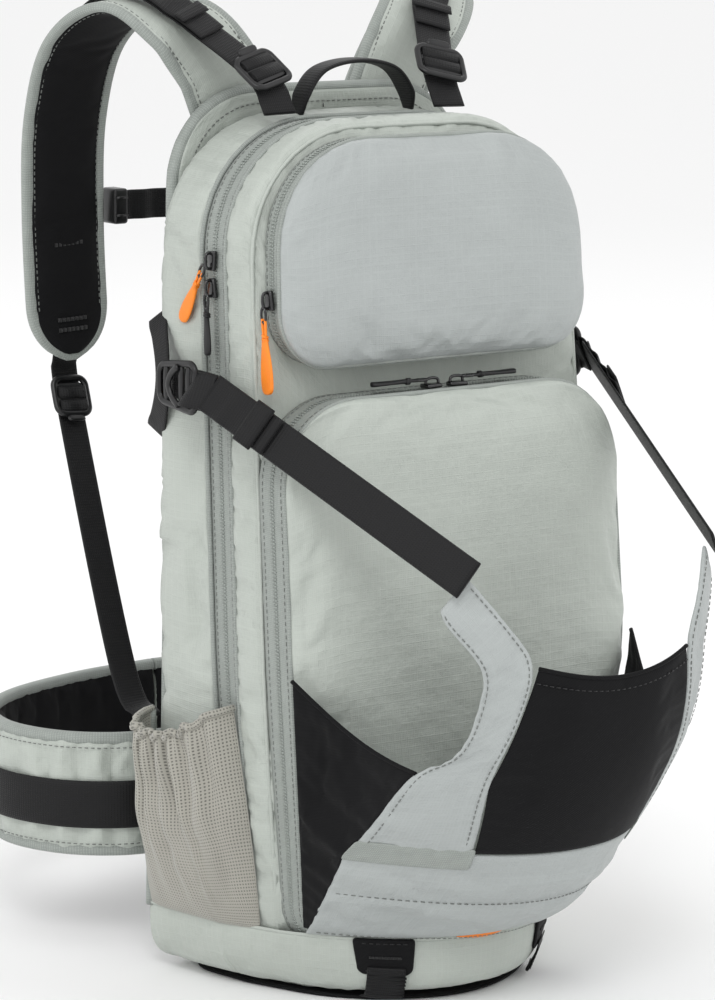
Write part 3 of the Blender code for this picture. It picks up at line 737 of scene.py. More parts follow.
def stitches(name, line, body, slot, finish=None, pitch=0.0042, blend=None):
    """A seam's thread: short stitches along (point, out) pairs."""
    bag = bpy.context.scene.backpack_bag
    points = [p for p, _ in line]
    length = sum((b - a).length for a, b in zip(points, points[1:]))
    count = max(2, int(length / pitch))
    run, i, spots = [0.0], 0, []
    for a, b in zip(points, points[1:]):
        run.append(run[-1] + (b - a).length)
    for k in range(count):
        goal = length * (k + 0.5) / count
        while i < len(points) - 2 and run[i + 1] < goal:
            i += 1
        f = (goal - run[i]) / max(run[i + 1] - run[i], 1e-9)
        spots.append((points[i].lerp(points[i + 1], f), points[i + 1] - points[i], line[i][1]))
    return piece(
        name, blocks(spots, (bag.stitch, 0.0006, 0.0005)), finish or thread(), body, slot, smooth=0,
        blend=blend
    )


def box_piece(low, high, bevel):
    """A bevelled block between two corners."""
    bm = bmesh.new()
    low, high = Vector(low), Vector(high)
    made = bmesh.ops.create_cube(bm, size=1.0)["verts"]
    bmesh.ops.scale(bm, verts=made, vec=high - low)
    bmesh.ops.translate(bm, verts=made, vec=(low + high) / 2)
    bmesh.ops.bevel(
        bm,
        geom=list(bm.edges),
        offset=bevel,
        offset_type="OFFSET",
        segments=3,
        profile=0.5,
        affect="EDGES",
        material=-1,
    )
    return bm


# ---- the bag's lines --------------------------------------------------------------------------------------
def half_width(z):
    bag = bpy.context.scene.backpack_bag
    return bag.half_width - bag.taper * z


def lean(y, z):
    """The front half leans: low points stand further forward; the back edge stays upright."""
    bag = bpy.context.scene.backpack_bag
    return y + bag.lean * (z - bag.lean_z) * min(1.0, (bag.back_y - y) / (bag.back_y - bag.zip_half))


def upright_corners(half_low, half_high, low, high, r_low, r_high, inset=0.0):
    a, b = max(r_low - inset, 0.004), max(r_high - inset, 0.004)
    return [
        (-half_low + inset, low + inset, a),
        (half_low - inset, low + inset, a),
        (half_high - inset, high - inset, b),
        (-half_high + inset, high - inset, b),
    ]


UPPER_POCKET = {"half_low": 0.1195, "half_high": 0.114, "low": 0.408, "high": 0.5485, "r_low": 0.035,
                "r_high": 0.07}
LOWER_POCKET = {"half_low": 0.1335, "half_high": 0.129, "low": 0.032, "high": 0.390, "r_low": 0.03,
                "r_high": 0.055}


def bag_corners(inset=0.0):
    bag = bpy.context.scene.backpack_bag
    low, high = bag.low, bag.height
    return upright_corners(half_width(low), half_width(high), low, high, bag.base_corner, bag.top_corner,
                           inset)


@lru_cache(maxsize=None)
def ring_line(kind, inset, count):
    """The outline of the bag or a pocket as count + 1 points at equal steps, the last being the first."""
    corners = bag_corners(inset) if kind == "bag" else upright_corners(**kind_sizes(kind), inset=inset)
    points = rounded(corners, 10)
    start = len(points) // 8
    points = points[start:] + points[: start + 1]
    return even(points, count + 1)


def kind_sizes(kind):
    return UPPER_POCKET if kind == "upper_pocket" else LOWER_POCKET


def on_ring(kind, inset, y, count):
    """That outline in space, at a depth y."""
    return [Vector((p.x, lean(y, p.y), p.y)) for p in ring_line(kind, round(inset, 5), count)]


def outward_of(line, centre):
    """(point, out) pairs for a ring, out being away from its middle."""
    out = []
    for i, point in enumerate(line):
        tangent = (line[(i + 1) % (len(line) - 1)] - line[i - 1 if i else -2]).normalized()
        normal = tangent.cross(REAR).normalized()
        if normal.dot(point - centre) < 0:
            normal = -normal
        out.append((point, normal))
    return out


def between(share):
    """The share, kept from 0 to 1."""
    return max(0.0, min(1.0, share))


def wall_bulge(y, z):
    """How far the stuffed rear compartment pushes its side wall outwards above the bottle pockets."""
    bag = bpy.context.scene.backpack_bag
    over = between((z - 0.19) / 0.10) * between((bag.height - z) / 0.10)
    across = between((y - bag.zip_half) / (bag.back_y - bag.zip_half))
    return 0.0050 * over * math.sin(math.pi * across) ** 0.8


def soft_folds(p):
    """Shallow upright folds in a wall, from 0 at its seams to about a millimetre and a half."""
    slow = noise.noise(Vector((p.y * 34, p.z * 7, 1.7 * math.copysign(1, p.x))))
    quick = noise.noise(Vector((p.y * 60 + 3, p.z * 26, 4.1)))
    return 0.0024 * slow + 0.0010 * quick


def shell(open_y, shut_y, rows, count=380):
    """One compartment: a wall between the zip and the soft edge, then the face, under pockets or pads."""
    bag = bpy.context.scene.backpack_bag
    sign = 1 if shut_y > open_y else -1
    corner = shut_y - sign * bag.edge
    bends = [math.radians(a) for a in range(0, 91, 15)]
    profile = [(0.0, open_y)]
    profile += [(bag.edge * (1 - math.cos(a)), corner + sign * bag.edge * math.sin(a)) for a in bends]
    profile += [(0.030, shut_y), (0.060, shut_y)]
    profile = follow([Vector(spot) for spot in profile])
    rings = [on_ring("bag", *profile(j / rows), count) for j in range(rows + 1)]
    wall_share = abs(corner - open_y) / (abs(corner - open_y) + bag.edge * 1.57 + 0.048)
    rear = open_y > 0

    def place(u, v):
        p = rings[round(v * rows)][round(u * count) % count]
        wall = min(1.0, max(0.0, v / wall_share))
        share_up = between((p.z - bag.low - 0.01) / 0.05) * between((bag.height - p.z) / 0.08)
        out = soft_folds(p) * math.sin(math.pi * wall) * share_up + (wall_bulge(p.y, p.z) if rear else 0.0)
        return p + Vector((math.copysign(out, p.x), 0, 0))

    bm = surface(place, count, rows, pin=lambda u, v: v < 0.01 or v > wall_share + 0.32)
    openings = [e for e in bm.edges if e.is_boundary and abs(e.verts[0].co.y) > 0.03]
    bmesh.ops.holes_fill(bm, edges=openings, sides=0)
    bmesh.ops.triangulate(bm, faces=[f for f in bm.faces if len(f.verts) > 4])
    return bm


def zip_band(name, kind, y_rear, y_front, stands_for, count):
    """A zip round an outline: two woven tapes, a coil between them but for its foot, and two seams."""
    bag = bpy.context.scene.backpack_bag
    rows = 8
    inset = 0.0010
    middle_y = (y_rear + y_front) / 2
    rings = [on_ring(kind, inset, y_rear + (y_front - y_rear) * j / rows, count) for j in range(rows + 1)]
    inner = [
        on_ring(kind, inset + 0.0016, y_front + (y_rear - y_front) * j / rows, count) for j in range(rows + 1)
    ]
    loops = rings + inner + [rings[0]]
    last = len(loops) - 1
    bm = surface(lambda u, v: loops[round(v * last)][round(u * count) % count], count, last)
    centre = Vector((0, lean(middle_y, 0.3), 0.3))
    piece(name + "_tape", bm, grey_tape(), "pack", "ripstop_grey", stands_for, smooth=0)

    fine = int(sum((b - a).length for a, b in zip(rings[0], rings[0][1:])) / bag.tooth)
    low = min(p.z for p in rings[0]) + 0.010
    spots = []
    for side in (-1, 1):
        line = on_ring(kind, inset - 0.0004, middle_y + side * 0.0012, fine)
        for k, (point, out) in enumerate(outward_of(line, centre)[:-1]):
            if point.z >= low:
                along = (line[k + 1] - point).normalized()
                spots.append((point, REAR + along * side * 0.25, out))
    teeth = blocks(spots, (0.0019, 0.0009, 0.0007))
    piece(name + "_coil", teeth, nylon_coil(), "pack", "ripstop_grey", smooth=0)
    half = abs(y_rear - y_front) / 2
    for side, label in ((-1, "front"), (1, "rear")):
        line = on_ring(kind, inset - 0.0001, middle_y + side * half * 0.74, count)
        stitches(f"{name}_{label}_seam", outward_of(line, centre), "pack", "ripstop_grey")


def nylon_coil():
    return moulded("grey_nylon_coil", "tape", 0.45, 0.8)


def piping(name, kind, inset, y, radius=0.0016, finish=None):
    """A bound seam: a thin round roll of tape along an outline."""
    roll = loop_of(on_ring(kind, inset, y, 220), radius, 8, REAR)
    return piece(name, roll, finish or grey_tape(), "pack", "ripstop_grey", smooth=0)


FOOT_IN = 0.664  # share of its width that the foot's front loses at the floor
FOOT_BACK = 1.217  # share of its depth that the foot's front corners lose there


def rounded_foot(p):
    """Rounds off the front corners of the bag's foot, more the lower they are."""
    bag = bpy.context.scene.backpack_bag
    rise = 1 - p.z / bag.foot_high
    if rise <= 0 or p.y >= bag.back_y:
        return p
    share_down = rise**2 / (1 + 0.9 * rise**2)
    forward = min(1.0, (bag.back_y - p.y) / (bag.back_y - FRONT_SEAM_Y))
    aside = min(1.2, (p.x / bag.half_width) ** 2)
    y = p.y * (1 - FOOT_BACK * share_down * aside) if p.y < 0 else p.y
    return Vector((p.x * (1 - FOOT_IN * share_down * forward), y, p.z))


class BACKPACK_OT_bag(bpy.types.Operator):
    """Builds the two compartments' walls with their soft edges and piping"""

    bl_idname = "backpack.bag"
    bl_label = "Bag walls"

    def execute(self, context):
        bag = context.scene.backpack_bag
        middle = (0, 0, bag.height / 2)
        for name, open_y, shut_y, rows, slack, cap in (
            ("back_compartment", bag.zip_half, bag.back_y, 24, 0.05, 0.0036),
            ("front_compartment", -bag.zip_half, bag.face_y, 22, 0.03, 0.0024),
        ):
            piece(
                name + "_cloth", shell(open_y, shut_y, rows), pale_cloth(), "pack", "ripstop_pale", name,
                middle,
                bag.cloth, 0, {"pressure": 2.0, "slack": slack, "cap": cap},
            )
        piping("main_seam_rear", "bag", 0.0, bag.zip_half)
        piping("main_seam_front", "bag", 0.0, -bag.zip_half)
        on_edge = bag.edge * 0.29
        piping("front_edge_piping", "bag", on_edge, bag.face_y + on_edge, 0.0014, pale_cloth())
        return {"FINISHED"}


class BACKPACK_OT_zips(bpy.types.Operator):
    """Builds the main zip and the zips of the two front pockets"""

    bl_idname = "backpack.zips"
    bl_label = "Zips"

    def execute(self, context):
        bag = context.scene.backpack_bag
        rear, front = bag.zip_half - 0.001, -bag.zip_half + 0.001
        zip_band("main_zip", "bag", rear, front, "main_zip", 320)
        start = bag.face_y - 0.0004
        zip_band("upper_zip", "upper_pocket", start, bag.upper_face_y, "upper_pocket_zip", 200)
        zip_band("lower_zip", "lower_pocket", start, bag.lower_face_y, "lower_pocket_zip", 260)
        return {"FINISHED"}


def domed_panel(kind, edge_y, bulge, across, along, finish, slot, cloth):
    """A stuffed front panel: flat at its seam, steep just inside it and gently crowned."""
    flat = patch(*four_edges(upright_corners(**kind_sizes(kind))))

    def place(u, v):
        p = flat(u, v)
        dome = ((1 - (2 * u - 1) ** 6) * (1 - (2 * v - 1) ** 6)) ** 0.5
        return Vector((p.x, lean(edge_y - 0.0015 - bulge * dome, p.y), p.y))

    wall = bpy.context.scene.backpack_bag.cloth
    panel = surface(place, across, along, pin=at_rim)
    return piece(kind + "_cloth", panel, finish, "pack", slot, kind, (0, 0.3, 0.3), wall, 1, cloth)


class BACKPACK_OT_pockets(bpy.types.Operator):
    """Builds the panels of the upper and lower front pockets, with their piping"""

    bl_idname = "backpack.pockets"
    bl_label = "Front pockets"

    def execute(self, context):
        bag = context.scene.backpack_bag
        domed_panel(
            "upper_pocket", bag.upper_face_y, bag.upper_bulge, 64, 44, grey_cloth(), "ripstop_grey",
            {"pressure": 1.0, "slack": 0.03, "cap": 0.004},
        )
        domed_panel(
            "lower_pocket", bag.lower_face_y, bag.lower_bulge, 60, 84, pale_cloth(), "ripstop_pale",
            {"pressure": 2.0, "slack": 0.04, "cap": 0.005},
        )
        piping("upper_pocket_piping", "upper_pocket", 0.0006, bag.upper_face_y - 0.001)
        piping("lower_pocket_piping", "lower_pocket", 0.0006, bag.lower_face_y - 0.001)
        return {"FINISHED"}


def boot_plan():
    """The plan of the boot, a band round the bag's foot: the left side, the front, the right side."""
    bag = bpy.context.scene.backpack_bag
    side, front, radius = bag.half_width + 0.0022, BOOT_FRONT_Y, 0.030
    corner = [math.radians(a) for a in range(0, 91, 10)]
    left = [Vector((-side, bag.back_y - 0.001)), Vector((-side, front + radius))]
    left += [
        Vector((-side + radius * (1 - math.cos(a)), front + radius * (1 - math.sin(a)))) for a in corner[1:]
    ]
    return follow(left + [Vector((-p.x, p.y)) for p in reversed(left)], 201)


BOOT_PROFILE = [  # how far inwards, and how high
    (0, 0.0452), (0, 0.030), (0.0015, 0.020), (0.006, 0.0115), (0.014, 0.0066), (0.026, 0.0042),
    (0.036, 0.0038)
]


def on_boot(p, v):
    """A point of the boot over the plan point p: v runs from its top edge, down and under the bag."""
    profile = follow([Vector(spot) for spot in BOOT_PROFILE], 41)(v)
    y = p.y * (1 - profile.x / 0.12) if p.y < 0 else p.y
    return Vector((p.x * (1 - profile.x / 0.14), y, profile.y))


class BACKPACK_OT_base(bpy.types.Operator):
    """Builds the black base, which wraps a little way up the walls"""

    bl_idname = "backpack.base"
    bl_label = "Base"

    def execute(self, context):
        low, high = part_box("base_panel")
        corners = [(low.x, low.y, 0.03), (high.x, low.y, 0.03), (high.x, high.y, 0.03), (low.x, high.y, 0.03)]
        flat = patch(*four_edges(corners))

        def place(u, v):
            p = flat(u, v)
            rim = max(abs(2 * u - 1), abs(2 * v - 1)) ** 10
            return Vector((p.x, p.y, 0.0004 + 0.0022 * rim))

        piece(
            "base_panel_cloth", surface(place, 48, 32), black_cloth(), "pack", "stretch_black", "base_panel",
            (0, 0, 0.3), -0.0022, 1,
        )
        plan = boot_plan()
        boot = surface(lambda u, v: on_boot(plan(u), v), 220, 20, pin=at_rim)
        piece("boot_cloth", boot, pale_cloth(), "pack", "ripstop_pale", away=(0, 0, 0.1), wall=0.0014,
              cloth={"pressure": 0.6, "slack": 0.02, "cap": 0.0016})
        rim = [on_boot(plan(k / 160), 0.0) for k in range(161)]
        piece("boot_piping", cord_of(rim, 0.0013, 8), pale_cloth(), "pack", "ripstop_pale", smooth=0)
        return {"FINISHED"}


# ---- back and inside --------------------------------------------------------------------------------------
def pad(name, corners, y_low, y_high, across, along, finish, slot, lines, cloth):
    """A foam pad: an oval cushion between two depths, pinched where lines(u, v) is near 1."""
    flat = patch(*four_edges(corners))
    half = (y_high - y_low) / 2
    crown = 0.6

    def full(u, v):
        rim = ((1 - (2 * u - 1) ** 8) * (1 - (2 * v - 1) ** 8)) ** 0.5
        return (1 - crown + crown * rim) * (1 - 0.55 * lines(u, v))

    def front(u, v):
        p = flat(u, v)
        return Vector((p.x, y_low + half + half * full(u, v), p.y))

    def back(u, v):
        p = flat(u, v)
        return Vector((p.x, y_low + half - half * (1 - crown + crown * 0.9), p.y))

    bm = surface(front, across, along, pin=lambda u, v: at_rim(u, v) or lines(u, v) > 0.85)
    held = bm.verts.layers.int["held"]
    gather(bm, surface(back, across, along, pin=lambda u, v: True))
    bmesh.ops.bridge_loops(bm, edges=[e for e in bm.edges if e.is_boundary])
    for vert in bm.verts:
        if vert.co.y < y_low + half * 0.9:
            vert[held] = 1
    return piece(name, bm, finish, "pack", slot, name.replace("_cloth", ""), cloth=cloth)


def ridge(distance, width):
    return math.exp(-((distance / width) ** 2))


class BACKPACK_OT_back(bpy.types.Operator):
    """Builds the back panel, its two foam pads, the protector and the stowed rain cover"""

    bl_idname = "backpack.back"
    bl_label = "Back"

    def execute(self, context):
        low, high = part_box("back_panel")
        corners = [(-0.124, 0.012, 0.03), (0.124, 0.012, 0.03), (0.112, high.z, 0.06), (-0.112, high.z, 0.06)]
        obj = pad(
            "back_panel_cloth", corners, low.y, high.y, 44, 90, pale_cloth(), "ripstop_pale",
            lambda u, v: ridge(u - 0.5, 0.03), {"pressure": 2.0, "slack": 0.02, "cap": 0.002},
        )
        edge = [Vector((p.x, (low.y + high.y) / 2 + 0.001, p.y)) for p in rounded(corners, 10)]
        rim = even(edge + edge[:1], 241)
        tape_piece("back_panel_binding", loop_of(rim, 0.0040, 10, REAR, 1.25))
        for label, y, out in (("front", low.y - 0.0004, -REAR), ("rear", high.y + 0.0002, REAR)):
            inner = [(-0.116, 0.020, 0.025), (0.116, 0.020, 0.025), (0.104, high.z - 0.0085, 0.054),
                     (-0.104, high.z - 0.0085, 0.054)]
            row = [(Vector((p.x, y, p.y)), out) for p in rounded(inner, 10)]
            stitches(f"back_panel_{label}_seam", row + row[:1], "pack", "ripstop_grey")
        cross = [(Vector((0.0, low.y - 0.0004, high.z - 0.009 - 0.001 * k)), -REAR) for k in range(10)]
        stitches("back_panel_cross_seam", cross, "pack", "ripstop_grey")
        for side, s in SIDES:
            low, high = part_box("back_pad_" + side)
            inner, outer = s * 0.018, s * 0.100
            corners = [(inner, low.z, 0.015), (outer, low.z, 0.03), (outer, high.z, 0.03),
                       (inner, high.z, 0.015)]
            if s < 0:
                corners = [corners[1], corners[0], corners[3], corners[2]]
            obj = pad(
                f"back_pad_{side}_cloth", corners, low.y, high.y, 26, 110, spacer_mesh("black_spacer_mesh"),
                "pad_mesh_black", lambda u, v: max(ridge(v - f, 0.018) for f in (0.2, 0.4, 0.6, 0.8)),
                {"pressure": 6.0, "slack": 0.03, "cap": 0.004},
            )
        low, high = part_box("back_protector")
        foam = box_piece((low.x, low.y, low.z), (high.x, high.y, high.z), 0.006)
        piece("back_protector_foam", foam, orange_foam(), "pack", "foam_orange", "back_protector", smooth=0)
        low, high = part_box("rain_cover")

        def folded(u, v):
            ripple = 0.0012 * math.sin(40 * v + 3 * math.sin(9 * u))
            a, b = oval(0.0 if u == 1 else u, (high.y - low.y) / 2, (high.z - low.z) / 2 + ripple - 0.0013,
                        3.2)
            taper = 1 - 0.12 * (2 * v - 1) ** 6
            x = low.x + (high.x - low.x) * v
            return Vector((x, (low.y + high.y) / 2 + a * taper, (low.z + high.z) / 2 + b * taper))

        cover = surface(folded, 36, 60, close=True)
        obj = piece("rain_cover_cloth", cover, orange_taffeta(), "pack", "taffeta_orange", "rain_cover")
        return {"FINISHED"}


def orange_foam():
    return moulded("orange_shock_foam", "orange", 0.8, 1.6)


def orange_taffeta():
    return ripstop("orange_coated_taffeta", "orange", 0.42)


# ---- bottle pockets ---------------------------------------------------------------------------------------
class BACKPACK_OT_bottle_pockets(bpy.types.Operator):
    """Builds the gathered mesh pockets on the side walls, with elastic hems"""

    bl_idname = "backpack.bottle_pockets"
    bl_label = "Bottle pockets"

    def execute(self, context):
        front, rear = -0.058, 0.063

        def hem_z(g):
            return 0.192 - 0.018 * g - 0.060 * g * (1 - g)

        def gathers(g, f, seed):
            slow = noise.noise(Vector((g * 9.0, seed * 7.3, f * 0.9)))
            folds = math.cos(2 * math.pi * (g * 6.2 + 0.35 * slow + 0.25 * seed))
            depth = 0.0052 * f ** 1.3 * (1 - 0.55 * max(0.0, f - 0.9) / 0.1)
            ruche = 0.0011 * math.cos(2 * math.pi * g * 24) * max(0.0, (f - 0.86) / 0.14)
            crumple = 0.0035 * noise.noise(Vector((g * 7, f * 6 + seed * 3, 2.0)))
            return folds * depth + ruche + crumple * math.sin(math.pi * min(1.0, f * 1.1))

        for side, s in SIDES:

            def pouch(g, f, proud=0.0):
                foot = 0.0435
                z = foot + (hem_z(g) - foot) * f
                ends = max(0.0, 1 - (2 * g - 1) ** 4)
                fullness = ends ** 0.6 * (0.05 + 0.95 * min(1.0, f / 0.5) ** 0.55)
                x = half_width(z) + 0.0022 + 0.0265 * fullness + gathers(g, f, s) * ends ** 0.7 + proud
                fore = front + 0.026 * f ** 1.3
                return Vector((s * x, fore + (rear - fore) * g, z - 0.002 * ends * math.cos(g * 44) * f ** 8))

            knit = knitted_mesh("beige_knitted_mesh")
            obj = piece(
                f"bottle_pocket_{side}_mesh", surface(pouch, 96, 60), knit, "pack", "mesh_beige",
                "bottle_pocket_" + side, (0, 0, 0.1), 0.0009,
            )
            hem = [pouch(k / 80, 1.0, 0.0004) + UP * 0.001 for k in range(81)]
            elastic = cord_of(hem, 0.0024, 10)
            piece(f"bottle_pocket_{side}_hem", elastic, knit, "pack", "mesh_beige", smooth=0)
            rear_edge = [pouch(1.0, k / 20, 0.001) for k in range(21)]
            tape_piece(f"bottle_pocket_{side}_edge", cord_of(rear_edge, 0.0026, 8, REAR))
        return {"FINISHED"}


# ---- shoulder harness -------------------------------------------------------------------------------------
STRAP_ROUTE = [
    (0.058, 0.0815, 0.556),
    (0.074, 0.0815, 0.590),
    (0.098, 0.0910, 0.615),
    (0.120, 0.1150, 0.624),
    (0.128, 0.1550, 0.600),
    (0.125, 0.1850, 0.550),
    (0.119, 0.2000, 0.490),
    (0.115, 0.2040, 0.430),
    (0.113, 0.2020, 0.390),
]


def strap_path(s, per_span):
    """The middle line of a shoulder strap: out of the back, over the shoulder and down the chest."""
    return smooth_path([(s * x, y, z) for x, y, z in STRAP_ROUTE], per_span)


def outward(normal, reference):
    return normal if normal.dot(reference) > 0 else -normal


def strap_stations(s):
    """(point, side, outer) down a shoulder strap, outer being away from the wearer."""
    path = even(strap_path(s, 10), 110)
    return [(p, side, outward(n, outside_of_strap(p))) for p, side, n in frames(path, Vector((s, 0, 0)))]


def outside_of_strap(point):
    """Roughly away from the wearer: up and forward over the shoulder, and to the front on the chest."""
    return (point - Vector((point.x, 0.115, 0.50))).normalized()


def strap_width_at(v, half):
    """Half width along the strap: full, then a round end."""
    left = (1 - v) * 0.33
    return half * (1.0 if left > half else max(0.05, 1 - ((half - left) / half) ** 2.2) ** 0.5)


def outer_line(stations, share_across, lift, first, last):
    """(point, normal) pairs along the strap, at a share of its half width and lifted off its middle."""
    harness = bpy.context.scene.backpack_harness
    half = harness.strap_width / 2
    out = []
    for i in range(first, last + 1):
        point, side, normal = stations[i]
        across = share_across * strap_width_at(i / (len(stations) - 1), half)
        out.append((point + side * across + normal * lift, normal))
    return out


class BACKPACK_OT_shoulder_straps(bpy.types.Operator):
    """Builds the padded shoulder straps with their bindings, seams, tacks and plain patches"""

    bl_idname = "backpack.shoulder_straps"
    bl_label = "Shoulder straps"

    def execute(self, context):
        harness = context.scene.backpack_harness
        half, thick = harness.strap_width / 2, harness.strap_thick
        bound = harness.binding / 2
        for side, s in SIDES:
            stations = strap_stations(s)
            last = len(stations) - 1

            def section(u, v):
                return oval(u, strap_width_at(v, half) - bound * 0.6, thick / 2, 2.6)

            def pinned(u, v):
                return min(abs(u), abs(u - 0.5), abs(u - 1)) < 0.03 or v < 0.02

            bm = sweep(stations, section, 32, True, lambda u, v: int(u > 0.5), pinned)
            obj = piece(
                f"shoulder_strap_{side}_pad", bm, [pale_cloth(), black_cloth()], "pack", "ripstop_pale",
                "shoulder_strap_" + side, cloth={"pressure": 3.0, "slack": 0.006, "cap": 0.0016},
            )

            def edge_path(sign):
                return [
                    p + a * sign * (strap_width_at(i / last, half) - bound) for i,
                    (p, a, _) in enumerate(stations)
                ]

            rim = edge_path(1) + edge_path(-1)[::-1]
            rim_hint = [n for _, _, n in stations] + [n for _, _, n in stations][::-1]
            rim_frames = []
            for i, point in enumerate(rim):
                tangent = (rim[min(i + 1, len(rim) - 1)] - rim[max(i - 1, 0)]).normalized()
                normal = (rim_hint[i] - tangent * rim_hint[i].dot(tangent)).normalized()
                rim_frames.append((point, normal, tangent.cross(normal)))
            binding = sweep(rim_frames, lambda u, v: oval(u, 0.0033, bound, 2.6), 12)
            tape_piece(f"shoulder_strap_{side}_binding", binding)
            for label, lift in (("outer", 0.0038), ("inner", -0.0038)):
                for edge, where in (("left", -0.76), ("right", 0.76)):
                    line = outer_line(stations, where, lift, 4, last - 9)
                    line = [(p, n if lift > 0 else -n) for p, n in line]
                    stitches(f"strap_{side}_{label}_{edge}_seam", line, "pack", "ripstop_grey")
            tacks = []
            for f in (0.80, 0.935, 0.955):
                point, across, normal = stations[round(f * last)]
                for k in range(7):
                    tacks.append((point + across * (k - 3) * 0.0032 - normal * (thick / 2 + 0.0006), UP,
                                  -normal))
            piece(f"strap_{side}_tacks", blocks(tacks, (0.0026, 0.0022, 0.0016)), dark_thread(), "pack",
                  "webbing_black", smooth=0)

            first, end = round(0.36 * last), round(0.44 * last)
            spots = stations[first : end + 1]
            patch_wide = 0.050

            def label(u, v):
                x = v * (len(spots) - 1)
                point, across, normal = spots[round(x)]
                proud = thick / 2 + 0.0022 - 0.0018 * (2 * u - 1) ** 4
                return point + across * (u - 0.5) * patch_wide + normal * proud

            piece(f"strap_{side}_patch", surface(label, 16, len(spots) - 1), black_cloth(), "pack",
                  "webbing_black",
                  away=(s * 0.1, 0.15, 0.45), wall=0.0012)
        return {"FINISHED"}


BUCKLE_BARS = (-0.28, 0.10, 0.42)  # places of the cross bars, as shares of the frame's length


def frame_buckle(name, node, point, along, side, normal, width, length):
    """A ladder lock: a moulded rounded frame with cross bars, one of them a flat gripping bar."""
    along, side, normal = along.normalized(), side.normalized(), normal.normalized()
    w, h, bar = width / 2 - 0.0022, length / 2 - 0.0022, 0.0024
    outline = rounded([(-w, -h, 0.006), (w, -h, 0.006), (w, h, 0.006), (-w, h, 0.006)], 6)
    path = [point + side * p.x + along * p.y + normal * (0.0018 + 0.0012 * (p.y / h) ** 2) for p in outline]
    bm = loop_of(path + path[:1], bar, 10, normal, 0.85)
    for f in BUCKLE_BARS:
        ends = [point + along * h * 2 * f + side * x + normal * 0.0016 for x in (-w, -w / 3, w / 3, w)]
        gather(bm, sweep(frames(ends, normal), lambda u, v: oval(u, 0.0017, 0.0026, 3.0), 10))
    rolls = bmesh.new()
    for f in (-0.10, 0.27):
        ends = [point + along * h * 2 * f + side * x + normal * 0.0014 for x in (-w * 0.8, 0, w * 0.8)]
        gather(rolls, sweep(frames(ends, normal), lambda u, v: oval(u, 0.0036, 0.0048, 2.6), 14))
    piece(name + "_rolls", rolls, black_webbing(), node, "webbing_black", smooth=0)
    tab = [point + along * (h + d) + normal * (0.0026 + d * 0.5) for d in (0.0, 0.003, 0.006)]
    gather(bm, sweep(frames(tab, side), lambda u, v: oval(u, w * 0.55, 0.0013, 4.0), 12))
    return piece(name, bm, acetal(), node, "acetal_black", node)


def load_route(s):
    """The load lifter: from the bag's top, through its buckle, onto the shoulder strap."""
    harness = bpy.context.scene.backpack_harness
    lift = harness.strap_thick / 2 + harness.webbing_thick / 2 + 0.005
    coarse = coarse_strap(s)
    over = []
    for p, side_vector, n in coarse[6:12]:
        n = outward(n, Vector((0, -0.4, 1)))
        over.append((p + n * lift, side_vector, n))
    rise = [Vector((s * 0.0665, 0.0165, 0.5600)), Vector((s * 0.070, 0.034, 0.5840)), over[0][0]]
    load = frames(smooth_path(rise, 3), Vector((s, 0, 0)))[:-1]
    return [(p, v, outward(n, Vector((0, -1, 1)))) for p, v, n in load] + over


def coarse_strap(s):
    """The strap's middle line at the frame's own, coarser steps."""
    return frames(strap_path(s, 3), Vector((s, 0, 0)))


def refined(stations, count):
    """The same stations on a smooth line with count of them."""
    path = even(smooth_path([p for p, _, _ in stations], 6), count)
    last = len(stations) - 1
    out = []
    for i, (point, side, normal) in enumerate(frames(path, stations[0][1])):
        near = stations[min(last, round(i / (count - 1) * last))][2]
        out.append((point, side, outward(normal, near)))
    return out


class BACKPACK_OT_load_lifters(bpy.types.Operator):
    """Builds the load lifters' webbing, keepers and ladder locks at the top"""

    bl_idname = "backpack.load_lifters"
    bl_label = "Load lifters"

    def execute(self, context):
        harness = context.scene.backpack_harness
        for side, s in SIDES:
            route = load_route(s)
            fine = refined(route, 60)
            wide, thick = harness.webbing, harness.webbing_thick
            strap_piece(f"load_lifter_{side}", fine, wide, thick, "load_webbing_" + side)
            over = fine[24:50]
            second = [(p + n * (0.0022 + 0.0004 * math.sin(i * 0.4)), v, n) for i,
                      (p, v, n) in enumerate(over)]
            strap_piece(f"load_lifter_{side}_tail", second, wide, thick)
            for k, i in enumerate((29, 41)):
                keep = [(p + n * 0.0048, v, n) for p, v, n in fine[i : i + 4]]
                strap_piece(f"load_lifter_{side}_keeper_{k}", keep, wide + 0.003, 0.0016)
            point, across, normal = route[3]
            along = (route[4][0] - route[2][0]).normalized()
            seat = point + normal * 0.0022
            frame_buckle(f"ladder_lock_{side}", "load_buckle_" + side, seat, along, across, normal, 0.036,
                         0.030)
        return {"FINISHED"}


